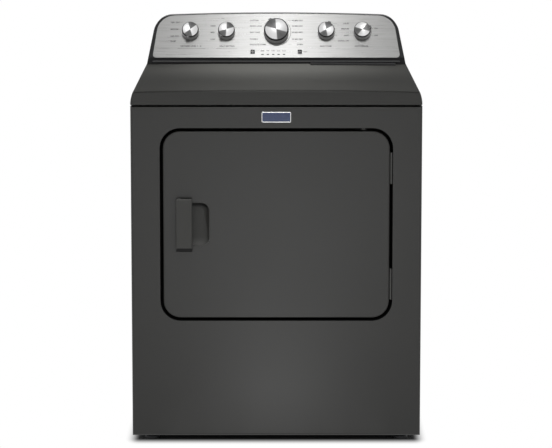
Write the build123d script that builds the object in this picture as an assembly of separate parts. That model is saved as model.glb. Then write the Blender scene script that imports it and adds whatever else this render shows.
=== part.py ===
from build123d import *
import os
from math import acos, atan2, cos, radians, sin, sqrt

# Clothes dryer with a top console, a side-hung door and a belt-driven drum.
# Millimetres. +Z is up, the front faces -Y, the origin is on the floor under the middle.

# Cabinet
WIDTH = 740.4
BODY_DEPTH = 692.0
CABINET_HEIGHT = 851.0        # front panel, lower edge to upper edge
FLOOR_GAP = 22.0              # under the cabinet, where the feet show
SHEET = 1.0                   # steel sheet
SHEET_GAP = 0.4               # between neighbouring sheets
FRONT_RETURN = 20.0           # how far the front panel's edges turn back
FRONT_EDGE_R = 6.0
SIDE_FLANGE = 16.0            # inward flanges of the side panels
PAN_SHEET = 1.6
PAN_FLANGE = 25.0

# Top panel
TOP_SEAM = 4.0                # dark seam between cabinet and top panel
SKIRT_HEIGHT = 33.0           # at the sides of the front edge
TOP_CROWN = 5.0               # the top surface bows up this much in the middle, at the front
TOP_REAR_CROWN = 1.5          # the same at the back, where it is nearly flat
TOP_RISE = 22.0               # the top's side edges climb this much towards the back
TOP_FRONT_INSET = 7.0         # how far the sides lean in at the front corners
TOP_REAR_INSET = 14.0         # the same at the back
TOP_EDGE_R = 6.0
CLIP_SIZE = 18.0              # the four posts that the top panel stands on

# Console
CONSOLE_DEPTH = 92.0          # from the foot of the console to the back
BAND_HEIGHT = 16.0            # plain band under the fascia, above the top panel's rear side edge
FASCIA_LEAN = 26.0            # degrees back from upright
FASCIA_LENGTH = 130.2         # up the slope, in the middle
FASCIA_MARGIN = 1.6           # console frame above the fascia
FASCIA_T = 1.5
FASCIA_GAP = 0.2
FASCIA_SIDE_LOW = 29.2        # from the cabinet's sides in to the fascia, at its foot
FASCIA_SIDE_HIGH = 47.2       # the same at its top
FASCIA_CORNER_R = 50.0
FASCIA_FOOT_R = 9.0
CONSOLE_SIDE_LOW = 17.2       # from the cabinet's sides in to the console, at the fascia's foot
CONSOLE_SIDE_HIGH = 39.7      # the same at its top
CONSOLE_CORNER_R = 52.0
CONSOLE_ARCH = 6.5            # the console's top edge bows up this much in the middle
CONSOLE_EDGE_R = 1.2
CONSOLE_WALL = 3.0

# Knobs, as spots on the fascia: across from the middle, up the slope
KNOB_ROW = 75.5
SMALL_KNOB_SPOTS = {"dryness_knob": (-237.0, 198.0), "heat_knob": (-137.5, 219.0),
                    "signal_knob": (137.5, 24.0), "tumble_knob": (237.0, 73.0)}
CYCLE_KNOB_POINTER = 329.0    # pointer angles are clockwise from straight up
KNOB_LIFT = 0.6               # gap between knob and fascia
SMALL_KNOB_R = 23.5
SMALL_KNOB_DEPTH = 23.0
CYCLE_KNOB_R = 34.5
CYCLE_KNOB_DEPTH = 27.0
KNOB_TAPER = 2.0              # the face is this much smaller in radius
KNOB_FACE_R = 1.2             # rounding of the face's rim
KNOB_TAB_WIDTH = 9.0
KNOB_TAB_REACH = 3.0
KNOB_SHAFT_R = 3.0
KNOB_SHAFT_LENGTH = 15.0
SHAFT_FIT = 0.05              # radial running clearance of every shaft
SHAFT_HOLE_R = 5.0
SWITCH_R = 18.0
SWITCH_DEPTH = 20.0

# Push buttons and indicator lenses
BUTTON_X = 65.0
BUTTON_ROW = 16.8
BUTTON_SIZE = 11.3
BUTTON_GAP = 0.3
BUTTON_PROUD = 1.8
BUTTON_TRAVEL = 1.5
BOARD_SETBACK = 14.0          # control board behind the fascia's face
BOARD_T = 1.6
BOARD_HALF = 92.0
BOARD_LOW = 2.0
BOARD_HIGH = 32.0
BOARD_POST_R = 3.0
LENS_ROW = 9.2
LENS_PITCH = 14.8
LENS_FIRST_X = -38.0
LENS_COUNT = 5
LENS_WIDTH = 6.5
LENS_HEIGHT = 2.5
LENS_GAP = 0.1
LENS_PROUD = 0.3

# Door and its recess
OPENING_SIDE = 73.7           # front panel left beside the opening
OPENING_HEIGHT = 496.0
OPENING_R = 52.0
OPENING_Z = 322.0             # lower edge, above the floor
DOOR_GAP = 8.0
DOOR_T = 32.0
DOOR_EDGE_R = 4.0
RECESS_DEPTH = 38.0
LANDING = 30.0                # width of the flange at the bottom of the recess
INNER_T = 3.0
INNER_RIM = 16.0              # height of the inner panel's stiffening rim
INNER_RIB = 2.5
SEAL_WIDTH = 9.0
SEAL_INSET = 7.0
SEAL_GAP = 0.4
HINGE_R = 3.0
HINGE_SETBACK = 3.5           # hinge axis behind the front face
HINGE_LENGTH = 80.0
HINGE_LOW = 95.0              # lower hinge's middle above the opening's lower edge
HINGE_HIGH = 103.0            # upper hinge's middle below the opening's upper edge
HINGE_LEAF = 1.6
HINGE_LEAF_DEPTH = 20.0
HINGE_PIN_R = 1.5
HINGE_PLAY = 0.4

# Door handle and latch
HANDLE_PROUD = 22.0
HANDLE_LEFT = 33.6            # from the door's left edge to the grip bar
GRIP_WIDTH = 41.0
GRIP_HEIGHT = 136.5
GRIP_ROOT = 9.0               # width of the grip bar's root on the door
GRIP_T = 13.0                 # thickness of the overhanging bar
GRIP_CUT = 10.8               # height of the slanted cut under the bar's lower end
GRIP_CORNER_R = 6.0           # rounding of the bar's upper left corner
CUP_WIDTH = 76.8
CUP_HEIGHT = 112.0
CUP_DEPTH = 19.0
CUP_LIFT = 2.5                # cup's middle above the door's middle
CUP_R = 22.0
CUP_SLANT = 13.0              # how far the cup's upper and side walls lean in
CUP_BED = 30.0                # height of the cup's deepest part; below it the floor climbs to the rim
CUP_CURVE = ((0.0, 0.0), (0.5, 0.22), (0.85, 0.6), (1.0, 1.0))  # shares of depth and of lean
CUP_WALL = 2.0
STRIKE_INSET = 17.0
STRIKE_LENGTH = 16.0
STRIKE_WIDTH = 5.0
STRIKE_HEIGHT = 24.0
STRIKE_PLAY = 4.0
CATCH_WALL = 3.0

# Door switch
SWITCH_DRUM_GAP = 9.6         # from the drum to the switch's nearest corner
PLUNGER_R = 4.5
PLUNGER_LIFT = 1.5            # plunger axis above the door's upper edge
PLUNGER_STROKE = 4.0
PLUNGER_GUIDE = 15.0          # length that stays in the switch when the plunger is out
PLUNGER_GAP = 0.3

# Name plate
PLATE_WIDTH = 75.0
PLATE_HEIGHT = 27.0
PLATE_T = 1.5
PLATE_DROP = 13.5             # below the front panel's upper edge

# Drum and bulkheads
DRUM_SIDE_GAP = 48.2          # from the cabinet's sides to the drum
DRUM_Z = 545.0
DRUM_WALL = 1.2
DRUM_LIP = 18.0               # the drum's ends turn in this much
DRUM_END_GAP = 6.0            # from drum to bulkhead
REAR_SPACE = 150.0            # behind the drum, for the chute, the blower and the heater
COLLAR_LENGTH = 24.0
COLLAR_WALL = 2.0
FELT_T = 3.0
FELT_GAP = 0.7
MOUTH_SIDE = 60.3             # from the drum's collar to the mouth's sides
MOUTH_HEIGHT = 400.0
MOUTH_R = 120.0
MOUTH_LIFT = 15.0             # mouth's middle above the drum's axis
BAFFLE_COUNT = 3
BAFFLE_HEIGHT = 65.0
BAFFLE_WIDTH = 84.0
BAFFLE_TIP = 26.0
BAFFLE_END_GAP = 4.0          # from the bulkheads' collars to the baffles' ends
BAFFLE_WALL = 3.0
ROLLER_R = 32.0
ROLLER_WIDTH = 24.0
ROLLER_ANGLE = 35.0           # degrees to each side of straight down
ROLLER_SETBACK = 14.0         # roller in front of the rear bulkhead
ROLLER_SHAFT_R = 6.0
ROLLER_GAP = 0.5              # between drum and rollers, and drum and belt
HEAT_HOLE_R = 6.0
HEAT_HOLE_PITCH = 24.0
HEAT_HOLE_ROWS = 9
HEAT_HOLE_COLUMNS = 5

# Motor, belt and idler
MOTOR_LEAD = 212.0            # motor's front face ahead of the rear bulkhead
MOTOR_X = 150.0
MOTOR_Z = 130.0
MOTOR_R = 62.0
MOTOR_LENGTH = 130.0
MOTOR_WALL = 5.0
CRADLE_T = 4.0
CRADLE_HALF = 48.0
CRADLE_INSET = 14.0
SHAFT_R = 8.0
PULLEY_R = 12.0
PULLEY_FLANGE = 3.0
PULLEY_FLANGE_T = 2.0
BELT_LEAD = 18.0              # belt's middle ahead of the motor
BELT_WIDTH = 10.0
BELT_T = 3.0
BELT_SIDE_GAP = 1.0
IDLER_R = 20.0
IDLER_WIDTH = 14.0
IDLER_ALONG = 100.0           # from the motor pulley up the belt to the idler
IDLER_ARM = 75.0
IDLER_ARM_T = 4.0
IDLER_ARM_HALF = 9.0
IDLER_AXLE_R = 4.0
IDLER_SIDE_GAP = 0.5
BRACKET_HALF = 15.0
SPRING_R = 5.0
SPRING_GAP = 0.3

# Air path: heater, lint chute, blower and exhaust
CHUTE_DEPTH = 62.0
CHUTE_WALL = 2.0
CHUTE_FOOT_Z = 240.0          # below this the chute narrows in front of the blower
CHUTE_FOOT_DEPTH = 36.0
CHUTE_FOOT_BOTTOM = 62.0
CHUTE_WINDOW = (150.0, 110.0)         # outlet of the drum in the rear bulkhead, wide and high
CHUTE_WINDOW_Z = 560.0
SCREEN_X = 210.5
SCREEN_DEPTH = 38.0           # lint screen's middle behind the rear bulkhead
SCREEN_WIDTH = 220.0
SCREEN_HEIGHT = 380.0
SCREEN_T = 14.0
SCREEN_RAIL = 12.0
SCREEN_GAP = 0.5
MESH_T = 2.0
LINT_HANDLE_WIDTH = 233.0
LINT_HANDLE_DEPTH = 32.0
LINT_HANDLE_DROP = 14.0       # handle's underside below the crown of the top panel
LINT_HANDLE_PROUD = 4.5
LINT_HANDLE_GAP = 0.8
BLOWER_R = 95.0
BLOWER_DEPTH = 66.0
BLOWER_WALL = 2.0
INLET_R = 55.0
WHEEL_R = 78.0
WHEEL_DEPTH = 48.0
WHEEL_PLATE_T = 3.0
WHEEL_HUB_R = 16.0
BLADE_COUNT = 20
BLADE_T = 1.6
BLADE_DEPTH = 22.0
HUB_FIT = 0.02
EXHAUST_X = 0.0
EXHAUST_Z = 101.0
EXHAUST_R = 50.4
EXHAUST_WALL = 0.8
EXHAUST_BEAD = 0.8            # the pipe is this much thicker inside the cabinet
COLLAR_PROUD = 30.0           # exhaust pipe behind the rear panel
COLLAR_FREE = 27.0            # plain length that the outside duct slides over
EXHAUST_HOLE_GAP = 2.5
OUTLET_MARGIN = 5.0           # outlet box around the exhaust pipe
HEATER_WIDTH = 220.0
HEATER_HEIGHT = 430.0
HEATER_DEPTH = 95.0
HEATER_WALL = 1.2
HEATER_X = -215.0
HEATER_Z = 545.0
ELEMENT_T = 5.0
ELEMENT_PASSES = 7
THERMOSTAT_R = 12.0
THERMOSTAT_T = 9.0

# Mains connection
TERMINAL_X = -255.0
TERMINAL_Z = 160.0
TERMINAL_WIDTH = 80.0
TERMINAL_HEIGHT = 50.0
TERMINAL_DEPTH = 26.0
COVER_MARGIN = 14.0
COVER_PROUD = 26.0
COVER_WALL = 2.0
CORD_HOLE_R = 11.0

# Rear vents, screws and feet
VENT_COUNT = 8
VENT_LENGTH = 110.0
VENT_HEIGHT = 5.0
VENT_PITCH = 16.0
VENT_X = 190.0
VENT_Z = 640.0
SCREW_HEAD_R = 5.0
SCREW_HEAD_T = 2.5
SCREW_R = 2.0
SCREW_LENGTH = 9.0
SCREW_GAP = 0.2
SCREW_EDGE = 22.0             # screws this far in from the rear panel's edge
FOOT_R = 19.0
FOOT_PAD = 9.0
FOOT_STUD_R = 5.0
FOOT_STUD_LENGTH = 34.0
FOOT_INSET_X = 48.0
FOOT_INSET_FRONT = 70.0
FOOT_INSET_REAR = 50.0
FOOT_BOSS_R = 11.0
FOOT_BOSS_HEIGHT = 16.0

# Places worked out from the sizes above
HALF = WIDTH / 2
FRONT = -(HANDLE_PROUD + BODY_DEPTH + COLLAR_PROUD) / 2 + HANDLE_PROUD
REAR = FRONT + BODY_DEPTH
BODY_BOTTOM = FLOOR_GAP
BODY_TOP = BODY_BOTTOM + CABINET_HEIGHT
INNER_HALF = HALF - SHEET - SHEET_GAP
OPENING_WIDTH = WIDTH - 2 * OPENING_SIDE
PAN_TOP = BODY_BOTTOM + PAN_SHEET
TOP_BASE = BODY_TOP + TOP_SEAM
LEAN = radians(FASCIA_LEAN)
FASCIA_HALF_LOW = HALF - FASCIA_SIDE_LOW
FASCIA_HALF_HIGH = HALF - FASCIA_SIDE_HIGH
CONSOLE_HALF_LOW = HALF - CONSOLE_SIDE_LOW
CONSOLE_HALF_HIGH = HALF - CONSOLE_SIDE_HIGH
CONSOLE_Y = REAR - CONSOLE_DEPTH
FASCIA_Z = TOP_BASE + SKIRT_HEIGHT + TOP_RISE + BAND_HEIGHT
CONSOLE_TOP = FASCIA_Z + (FASCIA_LENGTH + FASCIA_MARGIN) * cos(LEAN)
FASCIA = Plane(origin=(0, CONSOLE_Y, FASCIA_Z), x_dir=(1, 0, 0), z_dir=(0, -cos(LEAN), sin(LEAN)))
WALL_BACK = FASCIA_T + CONSOLE_WALL
DOOR_WIDTH = OPENING_WIDTH - 2 * DOOR_GAP
DOOR_HEIGHT = OPENING_HEIGHT - 2 * DOOR_GAP
DOOR_R = OPENING_R - DOOR_GAP
OUTER_DEPTH = DOOR_T - INNER_T
DOOR_Z = OPENING_Z + OPENING_HEIGHT / 2
DOOR_TOP = DOOR_Z + DOOR_HEIGHT / 2
CUP_Z = DOOR_Z + CUP_LIFT
HINGE_X = OPENING_WIDTH / 2 - DOOR_GAP / 2
HINGE_Y = FRONT + HINGE_SETBACK
HINGE_HEIGHTS = (OPENING_Z + HINGE_LOW, OPENING_Z + OPENING_HEIGHT - HINGE_HIGH)
LANDING_Y = FRONT + RECESS_DEPTH
FRONT_BULKHEAD_Y = LANDING_Y + SHEET
DRUM_FRONT = FRONT_BULKHEAD_Y + SHEET + DRUM_END_GAP
REAR_BULKHEAD_Y = REAR - REAR_SPACE
DRUM_REAR = REAR_BULKHEAD_Y - DRUM_END_GAP
DRUM_LENGTH = DRUM_REAR - DRUM_FRONT
BEHIND = REAR_BULKHEAD_Y + SHEET
DRUM_R = HALF - DRUM_SIDE_GAP
COLLAR_R = DRUM_R - DRUM_LIP - FELT_GAP - FELT_T
MOUTH_WIDTH = 2 * (COLLAR_R - MOUTH_SIDE)
SWITCH_HALF = PLUNGER_R + CATCH_WALL
SWITCH_LOW = DOOR_TOP + PLUNGER_LIFT - SWITCH_HALF - DRUM_Z
SWITCH_X = sqrt((DRUM_R + SWITCH_DRUM_GAP) ** 2 - SWITCH_LOW ** 2) + 2 * SWITCH_HALF
MOUTH_Z = DRUM_Z + MOUTH_LIFT
MOTOR_Y = REAR_BULKHEAD_Y - MOTOR_LEAD
BELT_Y = MOTOR_Y - BELT_LEAD
SCREEN_Y = BEHIND + SCREEN_DEPTH
BLOWER_Y = BEHIND + CHUTE_FOOT_DEPTH
BLOWER_BACK = BLOWER_Y + BLOWER_DEPTH
LINT_TOP = TOP_BASE + SKIRT_HEIGHT + TOP_REAR_CROWN + TOP_RISE - LINT_HANDLE_DROP
REAR_SKIN = REAR - SHEET


def block(x0, x1, y0, y1, z0, z1):
    """Box between two opposite corners."""
    size = Box(abs(x1 - x0), abs(y1 - y0), abs(z1 - z0))
    return Pos((x0 + x1) / 2, (y0 + y1) / 2, (z0 + z1) / 2) * size


def rod_y(x, z, radius, y0, y1):
    """Round bar along Y."""
    return Pos(x, (y0 + y1) / 2, z) * Rot(90, 0, 0) * Cylinder(radius, abs(y1 - y0))


def rod_z(x, y, radius, z0, z1):
    """Round bar along Z."""
    return Pos(x, y, (z0 + z1) / 2) * Cylinder(radius, abs(z1 - z0))


def tube_y(x, z, outer, inner, y0, y1):
    """Tube along Y."""
    return rod_y(x, z, outer, y0, y1) - rod_y(x, z, inner, y0, y1)


def upright(y):
    """Plane that faces the front at a depth y, with X across and Z up."""
    return Plane(origin=(0, y, 0), x_dir=(1, 0, 0), z_dir=(0, -1, 0))


def panel(width, height, radius, x, z, y0, y1):
    """Rounded rectangle seen from the front, from depth y0 to y1."""
    return extrude(upright(y1) * Pos(x, z) * RectangleRounded(width, height, radius), y1 - y0)


def on_fascia(x, v, w=0.0):
    """Place on the fascia: across, up the slope, out of its face."""
    return FASCIA.location * Pos(x, v, w)


def front_panel():
    """Steel tray with a recess for the door and a landing flange at the bottom of the recess."""
    skin = block(-HALF, HALF, FRONT, FRONT + FRONT_RETURN, BODY_BOTTOM, BODY_TOP)
    skin = fillet(skin.faces().sort_by(Axis.Y)[0].edges(), FRONT_EDGE_R)
    hollow = block(-HALF + SHEET, HALF - SHEET, FRONT + SHEET, FRONT + FRONT_RETURN,
                   BODY_BOTTOM + SHEET, BODY_TOP - SHEET)
    hollow = fillet(hollow.faces().sort_by(Axis.Y)[0].edges(), FRONT_EDGE_R - SHEET)
    tray = skin - hollow
    tray += panel(OPENING_WIDTH + 2 * SHEET, OPENING_HEIGHT + 2 * SHEET, OPENING_R + SHEET, 0, DOOR_Z,
                  FRONT, LANDING_Y + SHEET)
    tray -= panel(OPENING_WIDTH, OPENING_HEIGHT, OPENING_R, 0, DOOR_Z, FRONT, LANDING_Y)
    tray -= panel(OPENING_WIDTH - 2 * LANDING, OPENING_HEIGHT - 2 * LANDING, OPENING_R - LANDING, 0, DOOR_Z,
                  FRONT, LANDING_Y + SHEET)
    tray -= rod_y(SWITCH_X, DOOR_TOP + PLUNGER_LIFT, PLUNGER_R + PLUNGER_GAP, LANDING_Y, LANDING_Y + SHEET)
    tray -= strike_slot(LANDING_Y, LANDING_Y + SHEET)
    return tray


def strike_slot(y0, y1):
    """Slot that the door's strike enters, with play for its swing."""
    x = -DOOR_WIDTH / 2 + STRIKE_INSET
    reach = STRIKE_WIDTH / 2 + STRIKE_PLAY
    rise = STRIKE_HEIGHT / 2 + STRIKE_PLAY
    return block(x - reach, x + reach, y0, y1, DOOR_Z - rise, DOOR_Z + rise)


def side_panel(side):
    """Flat side sheet with an inward flange at its front and upper edges."""
    y0 = FRONT + FRONT_RETURN + SHEET_GAP
    skin = block(side * (HALF - SHEET), side * HALF, y0, REAR, BODY_BOTTOM, BODY_TOP)
    skin += block(side * (HALF - SIDE_FLANGE), side * HALF, y0, y0 + SHEET,
                  BODY_BOTTOM + PAN_FLANGE, BODY_TOP)
    skin += block(side * (HALF - SIDE_FLANGE), side * HALF, y0, REAR - SHEET - SHEET_GAP,
                  BODY_TOP - SHEET, BODY_TOP)
    return skin


def screw_spots():
    """Screw places on the rear panel, as x and z."""
    x = INNER_HALF - SCREW_EDGE
    low = BODY_BOTTOM + PAN_FLANGE + SCREW_EDGE
    high = BODY_TOP - SCREW_EDGE
    rows = [low + (high - low) * step / 4 for step in range(5)]
    return [(side * x, z) for side in (-1, 1) for z in rows]


def rear_panel():
    """Rear sheet with the exhaust hole, the terminal window, vent slots and screw holes."""
    skin = block(-INNER_HALF, INNER_HALF, REAR_SKIN, REAR, BODY_BOTTOM, BODY_TOP)
    skin -= rod_y(EXHAUST_X, EXHAUST_Z, EXHAUST_R + EXHAUST_HOLE_GAP, REAR_SKIN, REAR)
    skin -= block(TERMINAL_X - TERMINAL_WIDTH / 4, TERMINAL_X + TERMINAL_WIDTH / 4, REAR_SKIN, REAR,
                  TERMINAL_Z - TERMINAL_HEIGHT / 4, TERMINAL_Z + TERMINAL_HEIGHT / 4)
    for step in range(VENT_COUNT):
        z = VENT_Z + step * VENT_PITCH
        skin -= panel(VENT_LENGTH, VENT_HEIGHT, VENT_HEIGHT * 0.49, VENT_X, z, REAR_SKIN, REAR)
    for x, z in screw_spots():
        skin -= rod_y(x, z, SCREW_R + SCREW_GAP, REAR_SKIN, REAR)
    return skin


def panel_screws():
    """Screws of the rear panel, head outside and shank inside."""
    screws = []
    for x, z in screw_spots():
        head = rod_y(x, z, SCREW_HEAD_R, REAR, REAR + SCREW_HEAD_T)
        screws.append(head + rod_y(x, z, SCREW_R, REAR + SCREW_HEAD_T - SCREW_LENGTH, REAR))
    return Compound(screws)


def foot_spots():
    """Places of the four feet, by name."""
    x = HALF - FOOT_INSET_X
    front, rear = FRONT + FOOT_INSET_FRONT, REAR - FOOT_INSET_REAR
    return {"foot_front_left": (-x, front), "foot_front_right": (x, front),
            "foot_rear_left": (-x, rear), "foot_rear_right": (x, rear)}


def base_pan():
    """Floor tray with foot bosses, the motor cradle and the idler bracket."""
    y0, y1 = FRONT + FRONT_RETURN + SHEET_GAP, REAR_SKIN - SHEET_GAP
    pan = block(-INNER_HALF, INNER_HALF, y0, y1, BODY_BOTTOM, BODY_BOTTOM + PAN_FLANGE)
    pan -= block(-INNER_HALF + PAN_SHEET, INNER_HALF - PAN_SHEET, y0 + PAN_SHEET, y1 - PAN_SHEET,
                 PAN_TOP, BODY_BOTTOM + PAN_FLANGE)
    for x, y in foot_spots().values():
        pan += rod_z(x, y, FOOT_BOSS_R, BODY_BOTTOM, BODY_BOTTOM + FOOT_BOSS_HEIGHT)
        pan -= rod_z(x, y, FOOT_STUD_R + SHAFT_FIT, BODY_BOTTOM, BODY_BOTTOM + FOOT_BOSS_HEIGHT)
    for y in (MOTOR_Y + CRADLE_INSET, MOTOR_Y + MOTOR_LENGTH - CRADLE_INSET - CRADLE_T):
        pan += block(MOTOR_X - CRADLE_HALF, MOTOR_X + CRADLE_HALF, y, y + CRADLE_T, BODY_BOTTOM, MOTOR_Z)
    pan -= rod_y(MOTOR_X, MOTOR_Z, MOTOR_R, MOTOR_Y, MOTOR_Y + MOTOR_LENGTH)
    x, z = IDLER_PIVOT
    plate_y = ARM_Y + IDLER_ARM_T + IDLER_SIDE_GAP
    pan += block(x - BRACKET_HALF, x + BRACKET_HALF, plate_y, plate_y + CRADLE_T,
                 BODY_BOTTOM, z + BRACKET_HALF)
    pan += rod_y(x, z, IDLER_AXLE_R, ARM_Y - IDLER_SIDE_GAP, plate_y)
    return pan


def foot(x, y):
    """Levelling foot: rubber-faced pad on a stud."""
    pad = fillet(rod_z(x, y, FOOT_R, 0, FOOT_PAD).edges().group_by(Axis.Z)[-1], FOOT_PAD / 4)
    neck = rod_z(x, y, FOOT_BOSS_R, FOOT_PAD, BODY_BOTTOM)
    return pad + neck + rod_z(x, y, FOOT_STUD_R, FOOT_PAD, FOOT_PAD + FOOT_STUD_LENGTH)


def top_section(share, y, inset):
    """Cross-section of the top panel: curved sides under a crowned top. share runs 0 front to 1 rear."""
    half = HALF - inset
    crease = HALF - TOP_FRONT_INSET - (TOP_REAR_INSET - TOP_FRONT_INSET) * share - inset
    edge_z = TOP_BASE + SKIRT_HEIGHT + TOP_RISE * share - inset
    crown = TOP_CROWN + (TOP_REAR_CROWN - TOP_CROWN) * share
    waist = (half - (half - crease) / 4, (TOP_BASE + edge_z) / 2)
    outline = [Line((-half, TOP_BASE), (half, TOP_BASE)),
               ThreePointArc((half, TOP_BASE), waist, (crease, edge_z)),
               ThreePointArc((crease, edge_z), (0, edge_z + crown), (-crease, edge_z)),
               ThreePointArc((-crease, edge_z), (-waist[0], waist[1]), (-half, TOP_BASE))]
    return upright(y) * make_face(outline)


def top_solid(inset):
    """Outer form of the top panel, or its hollow when inset by the sheet."""
    form = loft([top_section(0, FRONT + inset, inset), top_section(1, REAR - inset, inset)], ruled=True)
    front_edges = form.edges().group_by(Axis.Y)[0]
    front_edges = front_edges.filter_by(lambda edge: edge.center().Z > TOP_BASE + inset + 1)
    creases = form.edges().filter_by(lambda edge: edge.length > BODY_DEPTH / 2 and
                                     edge.center().Z > TOP_BASE + SKIRT_HEIGHT / 2 and
                                     abs(edge.center().X) > HALF / 2)
    creases = creases.filter_by(lambda edge: abs(edge.center().Y - (FRONT + REAR) / 2) < BODY_DEPTH / 4)
    return fillet(front_edges + creases, TOP_EDGE_R - inset)


def lint_slot(gap):
    """Upright prism of the lint handle's outline, grown by a gap."""
    return block(SCREEN_X - LINT_HANDLE_WIDTH / 2 - gap, SCREEN_X + LINT_HANDLE_WIDTH / 2 + gap,
                 SCREEN_Y - LINT_HANDLE_DEPTH / 2 - gap, SCREEN_Y + LINT_HANDLE_DEPTH / 2 + gap,
                 LINT_TOP, CONSOLE_TOP)


def top_panel():
    """Crowned steel top on four clip posts, with a slot for the lint screen's handle."""
    skin = TOP_FORM - top_solid(SHEET) - lint_slot(LINT_HANDLE_GAP)
    x = HALF - SIDE_FLANGE
    for side in (-1, 1):
        for y in (FRONT + FRONT_RETURN + SIDE_FLANGE, REAR - CLIP_SIZE - SIDE_FLANGE):
            post = block(side * x, side * (HALF - SHEET - SHEET_GAP - TOP_REAR_INSET / 2), y, y + CLIP_SIZE,
                         BODY_TOP, TOP_BASE + SKIRT_HEIGHT + TOP_RISE + TOP_CROWN)
            post = post & (TOP_FORM + block(-HALF, HALF, FRONT, REAR, BODY_TOP, TOP_BASE))
            skin += post
    return skin


def console_half(z):
    """Half-width of the console at a height, between its two measured heights."""
    share = (z - FASCIA_Z) / (CONSOLE_TOP - FASCIA_Z)
    return CONSOLE_HALF_LOW + (CONSOLE_HALF_HIGH - CONSOLE_HALF_LOW) * share


def console_solid(inset, front_inset, rear):
    """Console form: a leaning front with a plain band under it, narrowing upwards to round corners."""
    drop = FASCIA_Z - front_inset * sin(LEAN)
    foot_z = drop + front_inset * (1 - cos(LEAN)) / sin(LEAN) * cos(LEAN)
    top_z = CONSOLE_TOP - inset
    top_y = CONSOLE_Y + front_inset * cos(LEAN) + (top_z - drop) / cos(LEAN) * sin(LEAN)
    sunk_z = TOP_BASE + SKIRT_HEIGHT / 2
    side = Polyline((CONSOLE_Y + front_inset, sunk_z), (CONSOLE_Y + front_inset, foot_z), (top_y, top_z),
                    (rear, top_z), (rear, sunk_z), close=True)
    wedge = extrude(Plane.YZ * make_face(side), HALF, both=True)
    low, high = console_half(sunk_z) - inset, console_half(top_z) - inset
    shoulder_z = top_z - CONSOLE_ARCH
    outline = make_face([Polyline((-high, shoulder_z), (-low, sunk_z), (low, sunk_z), (high, shoulder_z)),
                         ThreePointArc((high, shoulder_z), (0, top_z), (-high, shoulder_z))])
    outline = fillet(outline.vertices().group_by(Axis.Y)[-1], CONSOLE_CORNER_R - inset)
    return wedge & extrude(upright(rear) * outline, rear - CONSOLE_Y)


def fascia_outline(grow):
    """Fascia seen square on: wide foot, narrower top with large round corners."""
    low, high, top = FASCIA_HALF_LOW + grow, FASCIA_HALF_HIGH + grow, FASCIA_LENGTH + grow
    shoulder = top - CONSOLE_ARCH / cos(LEAN)
    shape = make_face([Polyline((-high, shoulder), (-low, -grow), (low, -grow), (high, shoulder)),
                       ThreePointArc((high, shoulder), (0, top), (-high, shoulder))])
    shape = fillet(shape.vertices().group_by(Axis.Y)[-1], FASCIA_CORNER_R + grow)
    return fillet(shape.vertices().group_by(Axis.Y)[0], FASCIA_FOOT_R + grow)


def button_block(x, grow, w0, w1):
    """Square bar of a push button, between two depths out of the fascia's face."""
    side = BUTTON_SIZE + 2 * grow
    return on_fascia(x, BUTTON_ROW, (w0 + w1) / 2) * Box(side, side, w1 - w0)


def lens_block(step, grow, w0, w1):
    """One indicator lens, between two depths."""
    size = Box(LENS_WIDTH + 2 * grow, LENS_HEIGHT + 2 * grow, w1 - w0)
    return on_fascia(LENS_FIRST_X + step * LENS_PITCH, LENS_ROW, (w0 + w1) / 2) * size


def knob_spots():
    """Across-place, pointer angle, radius and depth of every knob, by name."""
    spots = {name: (x, angle, SMALL_KNOB_R, SMALL_KNOB_DEPTH)
             for name, (x, angle) in SMALL_KNOB_SPOTS.items()}
    spots["cycle_knob"] = (0.0, CYCLE_KNOB_POINTER, CYCLE_KNOB_R, CYCLE_KNOB_DEPTH)
    return spots


def front_holes(w0, w1):
    """Everything that passes through the fascia and the wall behind it."""
    holes = [on_fascia(spot[0], KNOB_ROW, (w0 + w1) / 2) * Cylinder(SHAFT_HOLE_R, w1 - w0)
             for spot in knob_spots().values()]
    holes += [button_block(side * BUTTON_X, BUTTON_GAP, w0, w1) for side in (-1, 1)]
    holes += [lens_block(step, LENS_GAP, w0, w1) for step in range(LENS_COUNT)]
    return Compound(holes)


def console_housing():
    """Moulded console shell, open at the back and the bottom, with posts for the control board."""
    shell = console_solid(0, 0, REAR) - TOP_FORM
    slope = shell.faces().sort_by(lambda face: face.normal_at().dot(FASCIA.z_dir))[-1]
    rim = slope.edges().filter_by(lambda edge: edge.center().Z > FASCIA_Z + 1)
    shell = fillet(rim, CONSOLE_EDGE_R)
    shell -= console_solid(CONSOLE_WALL, WALL_BACK, REAR)
    shell -= FASCIA.location * extrude(fascia_outline(FASCIA_GAP), -FASCIA_T)
    shell -= FASCIA.location * extrude(fascia_outline(FASCIA_GAP), FASCIA_T)
    shell -= front_holes(-BOARD_SETBACK, FASCIA_T)
    for x in (-BOARD_HALF + BOARD_POST_R, BOARD_HALF - BOARD_POST_R):
        for v in (BOARD_LOW + BOARD_POST_R, BOARD_HIGH - BOARD_POST_R):
            post = Cylinder(BOARD_POST_R, BOARD_SETBACK - FASCIA_T)
            shell += on_fascia(x, v, -(BOARD_SETBACK + FASCIA_T) / 2) * post
    return shell


def fascia():
    """Brushed metal face plate let into the console housing."""
    plate = FASCIA.location * extrude(fascia_outline(0), -FASCIA_T)
    return plate - front_holes(-FASCIA_T, 0)


def console_back_cover():
    """Sheet that closes the console's back."""
    cover = console_solid(CONSOLE_WALL + SHEET_GAP, WALL_BACK, REAR) - TOP_FORM
    return cover & block(-HALF, HALF, REAR - SHEET, REAR, BODY_TOP, CONSOLE_TOP)


def control_board():
    """Circuit board behind the buttons and the lenses."""
    middle = (BOARD_LOW + BOARD_HIGH) / 2
    board = Box(2 * BOARD_HALF, BOARD_HIGH - BOARD_LOW, BOARD_T)
    return on_fascia(0, middle, -BOARD_SETBACK - BOARD_T / 2) * board


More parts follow.
